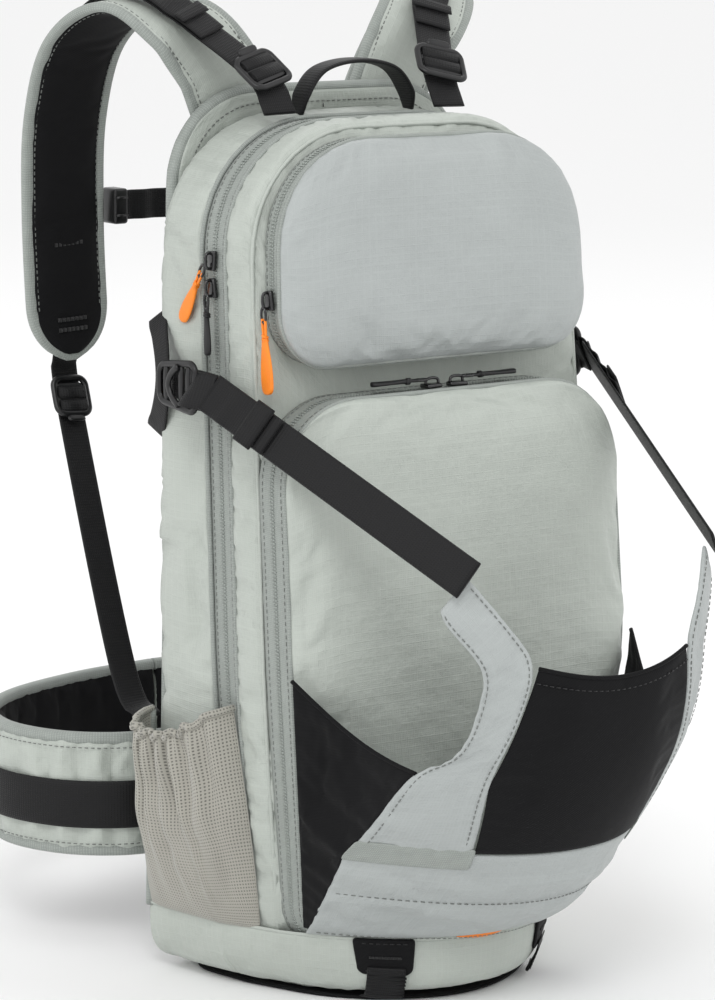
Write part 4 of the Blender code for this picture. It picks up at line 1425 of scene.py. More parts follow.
class BACKPACK_OT_lower_webbing(bpy.types.Operator):
    """Builds the webbing from the strap ends down to the bag, with its ladder locks"""

    bl_idname = "backpack.lower_webbing"
    bl_label = "Lower webbing"

    def execute(self, context):
        harness = context.scene.backpack_harness
        lift = harness.strap_thick / 2 + harness.webbing_thick / 2 + 0.001
        for side, s in SIDES:
            strap = coarse_strap(s)
            under = [p + outward(n, Vector((0, 1, 0))) * lift for p, _, n in (strap[-3], strap[-1])]
            below = under[-1] + Vector((0, -0.003, -0.030))
            corner, anchor = Vector((s * 0.127, 0.116, 0.190)), Vector((s * 0.1265, 0.0830, 0.1640))
            lower = frames(smooth_path([*under, below, corner, anchor], 3), Vector((s, 0, 0)))
            fine = refined(lower, 60)
            strap_piece(f"lower_webbing_{side}", fine, harness.webbing_narrow, harness.webbing_thick,
                        "adjust_webbing_" + side)
            point, across, normal = lower[6]
            along = (lower[7][0] - lower[5][0]).normalized()
            normal = outward(normal, Vector((0, -1, 0)))
            seat = point + normal * 0.0022
            frame_buckle(f"lower_lock_{side}", "adjust_buckle_" + side, seat, along, across, normal, 0.029,
                         0.030)
        return {"FINISHED"}


class BACKPACK_OT_sternum_strap(bpy.types.Operator):
    """Builds the sternum strap: two webbings, a side-release buckle and a slider on each shoulder strap"""

    bl_idname = "backpack.sternum_strap"
    bl_label = "Sternum strap"

    def execute(self, context):
        harness = context.scene.backpack_harness
        for side, s in SIDES:
            low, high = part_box("sternum_webbing_" + side)
            y, z = (low.y + high.y) / 2, (low.z + high.z) / 2
            ends = (low.x, high.x) if s > 0 else (high.x, low.x)
            path = [Vector((ends[0] + (ends[1] - ends[0]) * k / 24, y, z)) for k in range(25)]
            sag = [(p + REAR * 0.0009 * math.sin(k * 0.7), v, n) for k,
                   (p, v, n) in enumerate(frames(path, UP))]
            strap_piece(f"sternum_{side}", sag, harness.webbing_narrow, harness.webbing_thick,
                        "sternum_webbing_" + side, "sternum_strap")
            low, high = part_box("sternum_slider_" + side)
            bm = box_piece(low, high, 0.0022)
            for k in (-1, 1):
                rib = Vector(((low.x + high.x) / 2, low.y - 0.0004, (low.z + high.z) / 2 + k * 0.006))
                gather(bm, blocks([(rib, RIGHT, -REAR)], (0.009, 0.0018, 0.0016)))
            piece(f"sternum_clip_{side}", bm, acetal(), "sternum_strap", "acetal_black",
                  "sternum_slider_" + side,
                  smooth=0)
        low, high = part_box("sternum_buckle")
        middle, half = (low + high) / 2, (high - low) / 2
        bm = bmesh.new()
        for a, b in ((-1.0, -0.12), (-0.08, 1.0)):
            gather(bm,
                   box_piece((middle.x + half.x * a, low.y, low.z), (middle.x + half.x * b, high.y, high.z),
                             0.003))
        prongs = [(-0.1, -0.75), (0.25, -0.95), (0.5, -0.9)]
        for sign in (-1, 1):
            line = [Vector((middle.x + half.x * a, middle.y, middle.z + sign * half.z * b)) for a,
                    b in prongs]
            gather(bm, cord_of(smooth_path(line, 4), 0.0022, 8, REAR))
        piece("sternum_clasp", bm, acetal(), "sternum_strap", "acetal_black", "sternum_buckle", smooth=0)
        return {"FINISHED"}


class BACKPACK_OT_grab_handle(bpy.types.Operator):
    """Builds the grab handle at the top"""

    bl_idname = "backpack.grab_handle"
    bl_label = "Grab handle"

    def execute(self, context):
        hinge, half = Vector((0, 0.030, 0.5575)), 0.0435
        shape = [(-1, 0), (-0.93, 0.014), (-0.62, 0.029), (0, 0.034), (0.62, 0.029), (0.93, 0.014), (1, 0)]
        path = smooth_path([hinge + Vector((x * half, 0, z)) for x, z in shape], 8)

        def section(u, v):
            wide = 0.0045 + 0.0055 * min(1.0, math.sin(math.pi * v) * 2.2)
            return oval(u, wide, 0.0017, 3.4)

        fold = ("pack", "grab_handle", hinge + UP * 0.002, hinge + UP * 0.022)
        piece("grab_handle_webbing", sweep(frames(path, REAR), section, 14), black_webbing(), "grab_handle",
              "webbing_black", "grab_handle", blend=fold)
        return {"FINISHED"}


# ---- hip belt ---------------------------------------------------------------------------------------------
def belt_stations(s, count):
    harness = bpy.context.scene.backpack_harness
    route = [
        (0.096, 0.0985),
        (0.135, 0.106),
        (0.166, 0.134),
        (0.180, 0.178),
        (0.166, 0.226),
        (0.128, 0.260),
        (0.062, 0.281),
        (0.0008, 0.286),
    ]
    middle = (harness.belt_low + harness.belt_high) / 2
    path = even(smooth_path([(s * x, y, middle) for x, y in route], 10), count)
    out = []
    for point, side, normal in frames(path, UP):
        out.append((point, side, outward(normal, point - Vector((0, BELT_CENTRE_Y, middle)))))
    return out


class BACKPACK_OT_hip_belt(bpy.types.Operator):
    """Builds the quilted hip belt with its bindings, black band and closure"""

    bl_idname = "backpack.hip_belt"
    bl_label = "Hip belt"

    def execute(self, context):
        harness = context.scene.backpack_harness
        tall = (harness.belt_high - harness.belt_low) / 2
        thick = harness.belt_thick / 2
        for side, s in SIDES:
            count = 150
            stations = belt_stations(s, count)
            bend = ("pack", "hip_wing_" + side, (s * 0.0985, 0.0985, 0.12), (s * 0.131, 0.131, 0.12))
            length = sum((b[0] - a[0]).length for a, b in zip(stations, stations[1:]))
            channels = round(length / harness.channel)

            def seam(v):
                f = v * channels
                return ridge(f - round(f), 0.10)

            def section(u, v):
                a, b = oval(u, tall - 0.003, thick, 3.2)
                if 0 < u < 0.5:
                    b *= 1 - 0.62 * seam(v) * (1 - (a / tall) ** 4)
                return a, b

            def pinned(u, v):
                return min(abs(u), abs(u - 0.5), abs(u - 1)) < 0.03 or seam(v) > 0.8 or v < 0.02 or v > 0.98

            bm = sweep(stations, section, 36, True, lambda u, v: int(u > 0.5), pinned)
            obj = piece(
                f"hip_wing_{side}_pad", bm, [pale_cloth(), black_cloth()], "hip_wing_" + side, "ripstop_pale",
                "hip_wing_" + side, cloth={"pressure": 9.0, "slack": 0.04, "cap": 0.003}, blend=bend,
            )
            for label, sign in (("top", 1), ("foot", -1)):
                rim = [(p + v * sign * (tall - 0.0042), n, v) for p, v, n in stations]
                binding = sweep(rim, lambda u, v: oval(u, 0.0045, 0.0042, 2.6), 12)
                tape_piece(f"hip_wing_{side}_{label}_binding", binding, blend=bend)
                line = [(p + v * sign * (tall - 0.0092) + n * (thick + 0.0006), n) for p, v, n in stations]
                stitches(f"hip_wing_{side}_{label}_seam", line, "hip_wing_" + side, "ripstop_grey",
                         blend=bend)

            band_low, band_high = -0.022, 0.011
            band_first, band_last = 6, 92

            def band(u, v):
                point, up, out = stations[band_first + round(v * (band_last - band_first))]
                height = band_low + (band_high - band_low) * u
                return point + up * height + out * (thick + 0.0036 - 0.0014 * (2 * u - 1) ** 6)

            piece(f"hip_wing_{side}_band", surface(band, 10, band_last - band_first), black_webbing(),
                  "hip_wing_" + side, "webbing_black", away=(0, BELT_CENTRE_Y, 0.1), wall=0.0016, blend=bend)

            def flap(u, v):
                first = band_last - 4
                point, up, out = stations[first + round(v * (count - 2 - first))]
                proud = thick + 0.0038 - 0.0014 * (2 * u - 1) ** 6
                return point + up * (u - 0.5) * 2 * (tall - 0.009) + out * proud

            piece(f"hip_wing_{side}_flap", surface(flap, 16, count - 2 - (band_last - 4)), black_cloth(),
                  "hip_wing_" + side, "stretch_black", away=(0, BELT_CENTRE_Y, 0.1), wall=0.0018)
            point, up, out = stations[band_last]
            stay = [point + up * a + out * (thick + 0.0052) for a in (-0.038, -0.02, 0, 0.02, 0.038)]
            stay = [stay[0] - out * 0.004] + stay[1:-1] + [stay[-1] - out * 0.004]
            along = (stations[band_last + 1][0] - stations[band_last - 1][0]).normalized()
            strap_piece(f"hip_wing_{side}_stay", frames(smooth_path(stay, 6), along), 0.014, 0.0018,
                        body="hip_wing_" + side)
        tab = box_piece(*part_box("belt_closure"), 0.0012)
        piece("belt_closure_tab", tab, hook_tape(), "hip_wing_left", "webbing_black", "belt_closure",
              smooth=0)
        return {"FINISHED"}


def hook_tape():
    return stretch_knit("black_hook_tape", False)


# ---- helmet carrier ---------------------------------------------------------------------------------------
ARM_OUTER = [
    (0.046, 0.139), (0.114, 0.131), (0.131, 0.125), (0.168, 0.115), (0.179, 0.110), (0.187, 0.096),
    (0.200, 0.090),
    (0.237, 0.084), (0.250, 0.087), (0.273, 0.103), (0.282, 0.1045), (0.302, 0.0990),
]
ARM_INNER = [
    (0.046, 0.073), (0.122, 0.073), (0.171, 0.076), (0.203, 0.068), (0.249, 0.057), (0.273, 0.073),
    (0.302, 0.092),
]


def at(table, z):
    """Linear interpolation in a list of (z, value) pairs."""
    for (z0, v0), (z1, v1) in zip(table, table[1:]):
        if z <= z1:
            return v0 + (v1 - v0) * (z - z0) / (z1 - z0)
    return table[-1][1]


def carrier_y(x, z):
    """The carrier's surface: a basin that bulges forward, as it does round a helmet."""
    c = bpy.context.scene.backpack_carrier
    span = c.bulge_z - c.seam_z if z < c.bulge_z else c.top_span
    rise = max(0.0, 1 - ((c.bulge_z - z) / span) ** 2) ** 0.65
    return c.seam_y - c.bulge * rise * max(0.0, 1 - (abs(x) / c.half_width) ** 2.4)


def on_carrier(x, z, proud=0.0):
    c = bpy.context.scene.backpack_carrier
    step = 0.0005
    slope_x = (carrier_y(x + step, z) - carrier_y(x - step, z)) / (2 * step)
    slope_z = (carrier_y(x, z + step) - carrier_y(x, max(z - step, c.seam_z))) / (2 * step)
    normal = Vector((slope_x, -1, slope_z)).normalized()
    return Vector((x, carrier_y(x, z), z)) + normal * proud, normal


def arm_edge(table, s, low, inset=0.0, count=60):
    """An arm's edge as (x, z) points from the panel's foot to the tip, moved in by inset."""
    points = [Vector((at(table, low), low))] + [Vector((x, z)) for z, x in table if z > low + 0.002]
    line = even(rounded_line(points), count)
    out = []
    for i, p in enumerate(line):
        tangent = line[min(i + 1, count - 1)] - line[max(i - 1, 0)]
        normal = Vector((-tangent.y, tangent.x)).normalized()
        out.append(p + normal * inset)
    return [Vector((s * p.x, p.y)) for p in out]


def rounded_line(points, turns=3):
    """Corner cutting: each pass replaces a corner by two points on its sides."""
    for _ in range(turns):
        cut = [points[0]]
        for a, b in zip(points, points[1:]):
            cut += [a.lerp(b, 0.22), a.lerp(b, 0.78)]
        points = cut + [points[-1]]
    return points


# the bag's and the carrier's bodies and two points round where the cloth between the bag and the opening carrier
# bends; a piece given them is baked in place and attached to neither body
CARRIER_FOLD = ("pack", "helmet_carrier", (0, -0.073, 0.120), (0, -0.1243, 0.109))


class BACKPACK_OT_helmet_carrier(bpy.types.Operator):
    """Builds the helmet carrier: base, arms, stretch panel, tapes and seams"""

    bl_idname = "backpack.helmet_carrier"
    bl_label = "Helmet carrier"

    def execute(self, context):
        c = context.scene.backpack_carrier
        body = "helmet_carrier"
        away = (0, 0.2, 0.2)
        top = c.panel_z - 0.0006

        def base(u, v):
            z = c.seam_z + (top - c.seam_z) * v
            x = (2 * u - 1) * at(ARM_OUTER, z)
            return on_carrier(x, z)[0]

        def base_seams(u, v):
            return min(u, 1 - u) < 0.001 or v < 0.1 or abs(v - 0.5) < 0.03 or v > 0.76

        bm = surface(base, 96, 24, pin=base_seams)
        obj = piece("carrier_base_cloth", bm, grey_cloth(), body, "ripstop_grey", "carrier_base", away,
                    0.0022, 1,
                    {"pressure": 1.5, "slack": 0.04, "cap": 0.0035}, CARRIER_FOLD)

        foot = c.panel_z + 0.0006

        def panel(u, v):
            high = c.panel_top - 0.010 * math.sin(math.pi * u)
            z = foot + (high - foot) * v
            half = at(ARM_INNER, z) - 0.0006
            return on_carrier((2 * u - 1) * half, z)[0]

        bm = surface(panel, 60, 60, pin=at_rim)
        obj = piece("carrier_stretch_cloth", bm, black_cloth(), body, "stretch_black",
                    "carrier_stretch_panel", away,
                    0.0012, 1, {"pressure": 1.0, "slack": 0.006, "cap": 0.003})
        hem = [panel(k / 60, 0.93) for k in range(61)]
        hem = [(p + Vector((0, -0.0009, 0)), Vector((0, -1, 0.2))) for p in hem]
        stitches("carrier_hem_seam", hem, body, "stretch_black", dark_thread())
        rim = [panel(k / 60, 1.0) for k in range(61)]
        piece("carrier_hem", cord_of(rim, 0.0013, 8), black_cloth(), body, "stretch_black", smooth=0)

        for side, s in SIDES:
            outer = [p for p in arm_edge(ARM_OUTER[:-1], s, foot)]
            inner = [p for p in arm_edge(ARM_INNER, s, foot)]
            flat = patch(
                follow([inner[0], outer[0]]), follow(outer), follow([inner[-1], outer[-1]]), follow(inner)
            )

            def arm(u, v):
                p = flat(u, v)
                return on_carrier(p.x, p.y, 0.0004)[0]

            bm = surface(arm, 14, 72, pin=at_rim)
            obj = piece(f"carrier_arm_{side}_cloth", bm, grey_cloth(), body, "ripstop_grey",
                        "carrier_arm_" + side,
                        away, 0.0026, 1, {"pressure": 1.0, "slack": 0.015, "cap": 0.0015})
            for label, u in (("outer", 0.91), ("inner", 0.09)):
                line = []
                for k in range(81):
                    p = flat(u, 0.015 + 0.96 * k / 80)
                    line.append(on_carrier(p.x, p.y, 0.0011))
                stitches(f"carrier_arm_{side}_{label}_seam", line, body, "ripstop_grey")

            def band(u, v):
                z = 0.110 + 0.016 * v
                low_x, high_x = at(ARM_INNER, z) - 0.001, at(ARM_OUTER, z) + 0.0005
                return on_carrier(s * (low_x + (high_x - low_x) * u), z, 0.0016)[0]

            piece(f"carrier_band_{side}", surface(band, 24, 4), grey_tape(), body, "ripstop_grey", away=away,
                  wall=0.0010, blend=CARRIER_FOLD)
        for k, z in enumerate((0.0500, 0.0832)):
            reach = at(ARM_OUTER, z) - 0.004
            line = [on_carrier(-reach + 2 * reach * i / 90, z, 0.0012) for i in range(91)]
            stitches(f"carrier_base_seam_{k}", line, body, "ripstop_grey", blend=CARRIER_FOLD)
        return {"FINISHED"}


class BACKPACK_OT_gussets(bpy.types.Operator):
    """Builds the stretch gussets between the bag and the carrier's arms"""

    bl_idname = "backpack.gussets"
    bl_label = "Gussets"

    def execute(self, context):
        for side, s in SIDES:

            def gusset(u, v):
                bag_z = 0.050 + (0.222 - 0.050) * v
                on_bag = Vector((s * 0.1345, -0.1075 + 0.012 * v, bag_z))
                arm_z = 0.050 + (0.178 - 0.050) * v
                x = at(ARM_OUTER, arm_z) - 0.001
                on_arm = Vector((s * x, carrier_y(x, arm_z) + 0.0012, arm_z))
                sag = math.sin(math.pi * u) * v
                inward = Vector((-s, 0, 0)) * 0.004 * sag
                return on_bag.lerp(on_arm, u) + inward - UP * 0.010 * sag * v

            bm = surface(gusset, 28, 36, pin=lambda u, v: at_rim(u, v, 0.01))
            obj = piece(
                f"carrier_gusset_{side}_cloth", bm, black_cloth(), "pack", "stretch_black",
                "carrier_gusset_" + side,
                (0, -0.13, 0.1), 0.0012, 1, {"pressure": 0.0, "slack": 0.05, "cap": 0.006}, CARRIER_FOLD,
            )
            hem = [gusset(k / 28, 1.0) for k in range(29)]
            piece(f"carrier_gusset_{side}_hem", cord_of(hem, 0.0014, 8), black_cloth(), "pack",
                  "stretch_black",
                  smooth=0, blend=CARRIER_FOLD)
        return {"FINISHED"}


LASH_X = 0.090  # half the distance between the two patches, before the foot's corners are rounded off


def carrier_strap_line(s):
    tip = Vector((s * 0.0975, carrier_y(0.0975, 0.304) - 0.001, 0.306))
    hook = Vector((s * 0.1490, -0.0250, HOOK_LEVEL))
    along = (hook - tip).normalized()
    hint = Vector((s * 0.75, -0.45, 0.35))
    normal = (hint - along * hint.dot(along)).normalized()
    return tip, hook, along, normal, along.cross(normal)


class BACKPACK_OT_carrier_straps(bpy.types.Operator):
    """Builds the carrier's straps with their keepers and tails, the hooks and the loops on the bag"""

    bl_idname = "backpack.carrier_straps"
    bl_label = "Carrier straps"

    def execute(self, context):
        harness = context.scene.backpack_harness
        for side, s in SIDES:
            tip, hook, along, normal, across = carrier_strap_line(s)
            reach = (hook - tip).length
            link = ("pack", "helmet_carrier", hook - along * 0.02, tip + along * 0.004)
            steps = [-0.012 + (reach + 0.010) * k / 50 for k in range(51)]
            line = [(tip + along * d + normal * 0.0008, across, normal) for d in steps]
            strap_piece(f"carrier_strap_{side}_webbing", line, harness.webbing, harness.webbing_thick,
                        "carrier_strap_" + side, blend=link)
            tail = []
            for k in range(21):
                proud = 0.0030 + 0.0008 * math.sin(k)
                tail.append((tip + along * (reach - 0.060 + 0.056 * k / 20) + normal * proud, across, normal))
            strap_piece(f"carrier_strap_{side}_tail", tail, harness.webbing, 0.0016, blend=link)
            flat = Vector((s, 0, 0))
            turn = [hook - along * 0.006 + normal * 0.0026, hook + REAR * 0.003 + flat * 0.0052,
                    hook + REAR * 0.0095 + flat * 0.0070, hook + REAR * 0.0135 + flat * 0.0046,
                    hook + REAR * 0.0105 + flat * 0.0012, hook - along * 0.002 - normal * 0.0012]
            wrap = frames(smooth_path(turn, 6), across)
            strap_piece(f"carrier_strap_{side}_wrap", wrap, harness.webbing - 0.001, 0.0016)
            keeper = tip + along * (reach - 0.045)
            keep = [(keeper + along * d + normal * 0.0052, across, normal) for d in (-0.007, -0.002, 0.003,
                                                                                     0.007)]
            strap_piece(f"carrier_keeper_{side}", keep, harness.webbing + 0.004, 0.0020,
                        "strap_keeper_" + side,
                        blend=link)

            low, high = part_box("carrier_hook_" + side)
            middle = (low + high) / 2
            point = Vector((middle.x - flat.x * 0.0018, middle.y, middle.z))
            w, h = (high.z - low.z) / 2 - 0.0022, (high.y - low.y) / 2 - 0.0022
            outline = rounded([(-w, -h, 0.006), (w, -h, 0.006), (w * 0.72, h, 0.007), (-w * 0.72, h, 0.007)],
                              6)
            path = [point + UP * p.x + REAR * p.y + flat * 0.0020 for p in outline]
            bm = loop_of(path + path[:1], 0.0024, 10, flat, 0.9)
            for f in (-0.62, -0.22, 0.62):
                span = w * (0.98 - 0.2 * max(0.0, f))
                ends = [point + REAR * h * f + UP * x + flat * 0.0018 for x in (-span, 0, span)]
                gather(bm, sweep(frames(ends, flat), lambda u, v: oval(u, 0.0019, 0.0028, 3.0), 10))
            claw = [(-0.80, -0.20), (-0.45, 0.18), (0.0, 0.36), (0.45, 0.18), (0.80, -0.20)]
            line = [point + UP * w * a + REAR * h * b + flat * 0.0042 for a, b in claw]
            gather(bm,
                   sweep(frames(smooth_path(line, 5), flat), lambda u, v: oval(u, 0.0016, 0.0024, 2.4), 10))
            node = "carrier_hook_" + side
            piece(f"carrier_clasp_{side}", bm, acetal(), node, "acetal_black", node)

            wall = half_width(HOOK_LEVEL) + 0.0018
            route = [
                (wall, 0.050), (wall, 0.038), (wall + 0.008, 0.0265), (wall + 0.0145, 0.018),
                (wall + 0.0145, 0.006)
            ]
            line = [(s * (x + wall_bulge(y, HOOK_LEVEL)), y, HOOK_LEVEL) for x, y in route]
            loop = frames(smooth_path(line, 6), UP)
            strap_piece(f"hook_loop_{side}_webbing", loop, harness.webbing_narrow, harness.webbing_thick,
                        "hook_loop_" + side)
            anchor = []
            for y, z, proud in ((0.060, 0.432, 0.0022), (0.050, 0.424, 0.0050), (0.041, 0.410, 0.0078),
                                (0.038, 0.395, 0.0088), (0.041, 0.380, 0.0078), (0.050, 0.366, 0.0050),
                                (0.060, 0.358, 0.0022)):
                anchor.append(Vector((s * (half_width(z) + wall_bulge(y, z) + proud), y, z)))
            yoke = frames(smooth_path(anchor, 6), REAR)
            strap_piece(f"hook_yoke_{side}_webbing", yoke, 0.016, harness.webbing_thick)
        return {"FINISHED"}


class BACKPACK_OT_lash_patches(bpy.types.Operator):
    """Builds the two trapezoid patches at the foot, each with a ribbed webbing loop"""

    bl_idname = "backpack.lash_patches"
    bl_label = "Lash patches"

    def execute(self, context):
        for side, s in SIDES:

            def on_front(x, z, proud):
                return Vector((s * LASH_X + x, BOOT_FRONT_Y - proud + 0.9 * max(0.0, 0.026 - z) ** 1.25, z))

            def shield(u, v):
                z = 0.0200 + 0.0260 * v
                half = 0.0185 + 0.0035 * v - 0.004 * max(ridge(v, 0.07), 0.3 * ridge(v - 1, 0.05))
                return on_front((2 * u - 1) * half, z, 0.0050)

            piece(f"lash_patch_{side}_cloth", surface(shield, 16, 16), black_cloth(), "pack", "stretch_black",
                  "lash_patch_" + side, (0, 0.2, 0.1), 0.0020)
            for k, v in enumerate((0.12, 0.88)):
                line = [(shield(0.12 + 0.76 * i / 24, v) - REAR * 0.0002, -REAR) for i in range(25)]
                stitches(f"lash_patch_{side}_seam_{k}", line, "pack", "stretch_black", dark_thread())
            bar = [(shield(0.25 + 0.05 * k, 0.5) - REAR * 0.0003, UP, -REAR) for k in range(11)]
            piece(f"lash_patch_{side}_tack", blocks(bar, (0.0016, 0.0015, 0.0012)), dark_thread(), "pack",
                  "stretch_black", smooth=0)
            drop = [(0.0260, 0.0066), (0.0180, 0.0076), (0.0100, 0.0080), (0.0045, 0.0066), (0.0040, 0.0030)]
            line = [on_front(0.0, z, proud) for z, proud in drop]
            strap_piece(f"lash_loop_{side}", frames(smooth_path(line, 6), RIGHT), 0.026, 0.0020)
            rows = [(on_front(0.0, 0.0195 - 0.0026 * k, 0.0088), RIGHT, -REAR) for k in range(6)]
            piece(f"lash_loop_{side}_ribs", blocks(rows, (0.0255, 0.0014, 0.0012)), black_webbing(), "pack",
                  "webbing_black", smooth=0)
        tip = surface(
            lambda u,
            v: Vector((-0.034 + 0.058 * u, -0.1206, 0.0456 + (v - 0.5) * 0.0050 * math.sin(math.pi * u))),
            16, 4,
        )
        piece("rain_cover_edge", tip, orange_taffeta(), "pack", "taffeta_orange", away=(0, 0.2, 0.1),
              wall=0.0006)
        return {"FINISHED"}


# ---- zip sliders and pulls --------------------------------------------------------------------------------
def slider(name, node, along, out):
    """A zip slider: a bevelled wedge with a bridge over it."""
    low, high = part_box(node)
    middle = (low + high) / 2
    along, out = along.normalized(), out.normalized()
    across = along.cross(out).normalized()
    bm = bmesh.new()
    bmesh.ops.create_cube(bm, size=1.0)
    bmesh.ops.scale(bm, verts=bm.verts, vec=(0.0098, 0.0125, 0.0030))
    for vert in bm.verts:
        if vert.co.y < 0:
            vert.co.x *= 0.62
    bmesh.ops.bevel(bm, geom=list(bm.edges), offset=0.0010, segments=2, profile=0.5, affect="EDGES",
                    material=-1)
    bridge = [Vector((0, -0.005, 0.0012)), Vector((0, -0.0042, 0.0042)), Vector((0, 0, 0.0050)),
              Vector((0, 0.0042, 0.0042)), Vector((0, 0.005, 0.0012))]
    gather(bm, cord_of(smooth_path(bridge, 4), 0.0010, 8, RIGHT))
    turn = Matrix((across, along, out)).transposed().to_4x4()
    bmesh.ops.transform(bm, matrix=Matrix.Translation(middle - out * 0.0008) @ turn, verts=bm.verts)
    return piece(name, bm, lacquered_zinc(), node, "zip_metal_black", node, smooth=0)


def pull(name, node, start, along, out, length, width, finish, slot):
    """A pull: a metal link, a knotted cord and a moulded tab with a finger hollow."""
    along, out = along.normalized(), out.normalized()
    across = along.cross(out).normalized()
    turns = [2 * math.pi * k / 16 for k in range(17)]
    link = [
        start + along * (0.001 + 0.0048 * (1 - math.cos(a))) + across * 0.0024 * math.sin(a) for a in turns
    ]
    tab_start = 0.36

    def section(u, v):
        half = width / 2 * (0.34 + 0.66 * math.sin(math.pi * min(1.0, v * 1.15) * 0.62) ** 1.2)
        half *= max(0.12, 1 - max(0.0, (v - 0.86) / 0.14) ** 2.2) ** 0.5
        return oval(u, half, 0.0017 - 0.0004 * math.sin(math.pi * v), 2.6)

    path = [start + along * length * (tab_start + (1 - tab_start) * k / 24) for k in range(25)]
    tab = sweep(frames(path, across), section, 16)
    for sign in (-1, 1):
        line = [
            start + along * length * f + across * sign * x
            for f, x in ((0.14, 0.0014), (0.20, 0.0017), (0.30, 0.0013), (0.40, 0.0010))
        ]
        gather(tab, cord_of(smooth_path(line, 4), 0.0010, 8, out))
    knot = []
    for k in range(7):
        aside = across * 0.0022 * math.cos(k * 2.1) + out * 0.0016 * math.sin(k * 2.1)
        knot.append(start + along * length * (0.33 + 0.012 * k) + aside)
    gather(tab, cord_of(smooth_path(knot, 4), 0.0011, 8, out))
    piece(name + "_link", loop_of(link, 0.0009, 6, out), lacquered_zinc(), node, "zip_metal_black", smooth=0)
    return piece(name + "_tab", tab, finish, node, slot, node)


class BACKPACK_OT_sliders(bpy.types.Operator):
    """Builds the zip sliders with their links, cords and tabs"""

    bl_idname = "backpack.sliders"
    bl_label = "Sliders and pulls"

    def execute(self, context):
        bag = context.scene.backpack_bag
        left = -RIGHT
        down = Vector((-bag.taper, -bag.lean, -1)).normalized()
        slant = (down + REAR * 0.75).normalized()
        for which, along, length, width, finish, slot in (
            ("upper", slant, 0.046, 0.011, orange_rubber(), "pull_orange"),
            ("lower", down, 0.040, 0.007, black_rubber(), "pull_black"),
        ):
            node, tab = "main_slider_" + which, "main_pull_" + which
            slider("main_runner_" + which, node, -down if which == "upper" else down, left)
            low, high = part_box(node)
            start = Vector((low.x - 0.0014, (low.y + high.y) / 2, (low.z + high.z) / 2)) + along * 0.002
            pull("main_toggle_" + which, tab, start, along, left, length, width, finish, slot)
        low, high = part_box("upper_pocket_slider")
        slider("upper_pocket_runner", "upper_pocket_slider", down, left)
        start = Vector((low.x - 0.0014, (low.y + high.y) / 2, (low.z + high.z) / 2 - 0.003))
        pull("upper_pocket_toggle", "upper_pocket_pull", start, Vector((0, -0.10, -1)), left, 0.055, 0.013,
             orange_rubber(), "pull_orange")
        for side, s in SIDES:
            low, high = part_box("lower_pocket_slider_" + side)
            away = RIGHT * s
            slider(f"lower_pocket_runner_{side}", f"lower_pocket_slider_{side}", away, UP)
            start = Vector(((low.x + high.x) / 2 + s * 0.003, (low.y + high.y) / 2, high.z + 0.0012))
            pull(f"lower_pocket_toggle_{side}", f"lower_pocket_pull_{side}", start, away, UP, 0.044, 0.008,
                 black_rubber(), "pull_black")
        return {"FINISHED"}


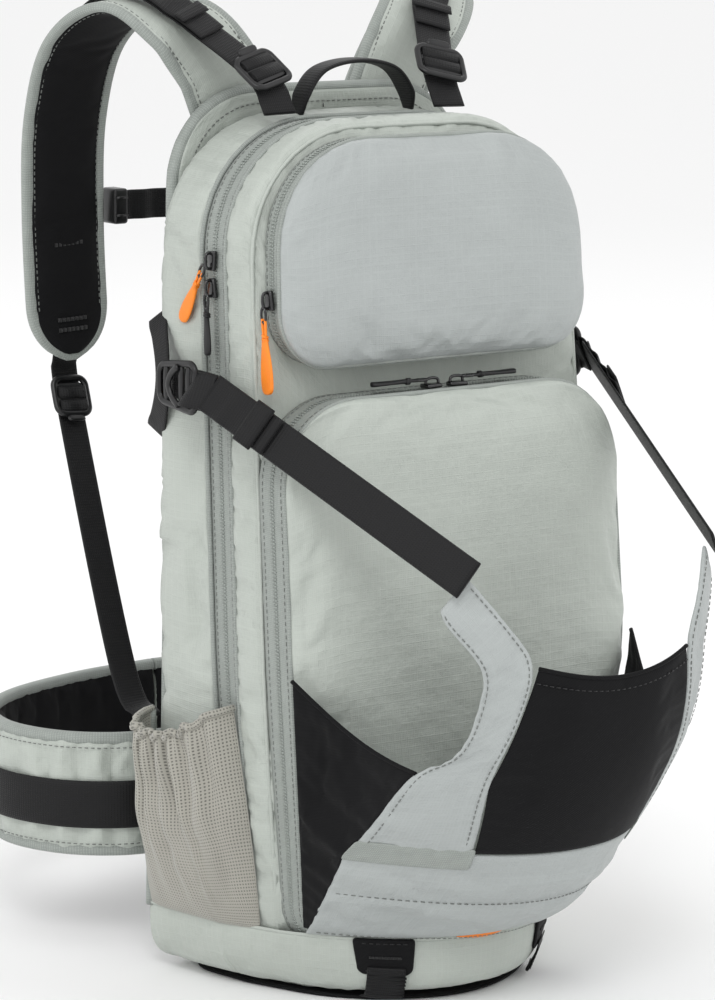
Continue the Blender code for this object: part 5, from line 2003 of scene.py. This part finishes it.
# ---- studio -----------------------------------------------------------------------------------------------
class BACKPACK_OT_studio(bpy.types.Operator):
    """Builds the pale floor, the soft lights and the camera"""

    bl_idname = "backpack.studio"
    bl_label = "Studio"

    def execute(self, context):
        scene = context.scene
        bm = bmesh.new()
        bmesh.ops.create_circle(bm, cap_ends=True, segments=96, radius=60.0)
        bmesh.ops.translate(bm, verts=bm.verts, vec=(0, 0, -0.0005))
        mesh = bpy.data.meshes.new("studio_floor")
        bm.to_mesh(mesh)
        bm.free()
        mat, _, _ = empty_material("pale_floor", tuple(scene.backpack_colours.floor), 0.9)
        mesh.materials.append(mat)
        floor = bpy.data.objects.new("studio_floor", mesh)
        scene.collection.objects.link(floor)

        world = bpy.data.worlds.new("studio")
        world.use_nodes = True
        world.node_tree.nodes["Background"].inputs["Color"].default_value = (1, 1, 1, 1)
        world.node_tree.nodes["Background"].inputs["Strength"].default_value = 1.0
        scene.world = world
        scene.view_settings.view_transform = "Standard"
        target = Vector((0.0179, 0.0517, 0.2984))
        for name, place, wide, power in (
            ("key", (-2.0, -2.6, 3.4), 1.4, 42),
            ("fill", (2.2, -2.8, 3.0), 2.6, 12),
            ("rim", (1.8, 2.6, 2.6), 2.0, 8),
            ("left", (-3.0, 0.2, 2.0), 1.6, 13),
        ):
            lamp = bpy.data.lights.new(name, "AREA")
            lamp.shape, lamp.size, lamp.energy = "DISK", wide, power
            light = bpy.data.objects.new(name, lamp)
            light.location = place
            light.rotation_mode = "QUATERNION"
            light.rotation_quaternion = (target - Vector(place)).to_track_quat("-Z", "Y")
            scene.collection.objects.link(light)

        azimuth, elevation, distance = math.radians(-35), math.radians(10), 2.4
        back = Vector((math.sin(azimuth) * math.cos(elevation), -math.cos(azimuth) * math.cos(elevation),
                       math.sin(elevation)))
        camera = bpy.data.objects.new("camera", bpy.data.cameras.new("camera"))
        camera.data.lens = 129.6
        camera.data.sensor_width = 36.0
        camera.location = target + back * distance
        camera.rotation_mode = "QUATERNION"
        camera.rotation_quaternion = (-back).to_track_quat("-Z", "Y")
        scene.collection.objects.link(camera)
        scene.camera = camera
        return {"FINISHED"}


OPERATORS = [
    BACKPACK_OT_studio,
    BACKPACK_OT_bag,
    BACKPACK_OT_zips,
    BACKPACK_OT_pockets,
    BACKPACK_OT_base,
    BACKPACK_OT_back,
    BACKPACK_OT_bottle_pockets,
    BACKPACK_OT_shoulder_straps,
    BACKPACK_OT_load_lifters,
    BACKPACK_OT_lower_webbing,
    BACKPACK_OT_sternum_strap,
    BACKPACK_OT_grab_handle,
    BACKPACK_OT_hip_belt,
    BACKPACK_OT_helmet_carrier,
    BACKPACK_OT_gussets,
    BACKPACK_OT_carrier_straps,
    BACKPACK_OT_lash_patches,
    BACKPACK_OT_sliders,
]
GROUPS = {
    "backpack_bag": BagSizes,
    "backpack_harness": HarnessSizes,
    "backpack_carrier": CarrierSizes,
    "backpack_colours": BackpackColours,
}


class BACKPACK_PT_panel(bpy.types.Panel):
    """Lists the sizes, the colours and the steps"""

    bl_label = "Ski backpack"
    bl_space_type = "VIEW_3D"
    bl_region_type = "UI"
    bl_category = "Backpack"

    def draw(self, context):
        for group in GROUPS:
            box = self.layout.box()
            for key in getattr(context.scene, group).bl_rna.properties.keys():
                if key not in ("rna_type", "name"):
                    box.prop(getattr(context.scene, group), key)
        for operator in OPERATORS:
            self.layout.operator(operator.bl_idname)


def register():
    for kind in (*GROUPS.values(), *OPERATORS, BACKPACK_PT_panel):
        bpy.utils.register_class(kind)
    for name, kind in GROUPS.items():
        setattr(bpy.types.Scene, name, bpy.props.PointerProperty(type=kind))


def unregister():
    for name in GROUPS:
        delattr(bpy.types.Scene, name)
    for kind in reversed((*GROUPS.values(), *OPERATORS, BACKPACK_PT_panel)):
        bpy.utils.unregister_class(kind)


def main():
    register()
    for operator in OPERATORS:
        group, action = operator.bl_idname.split(".")
        getattr(getattr(bpy.ops, group), action)()


if __name__ == "__main__":
    main()
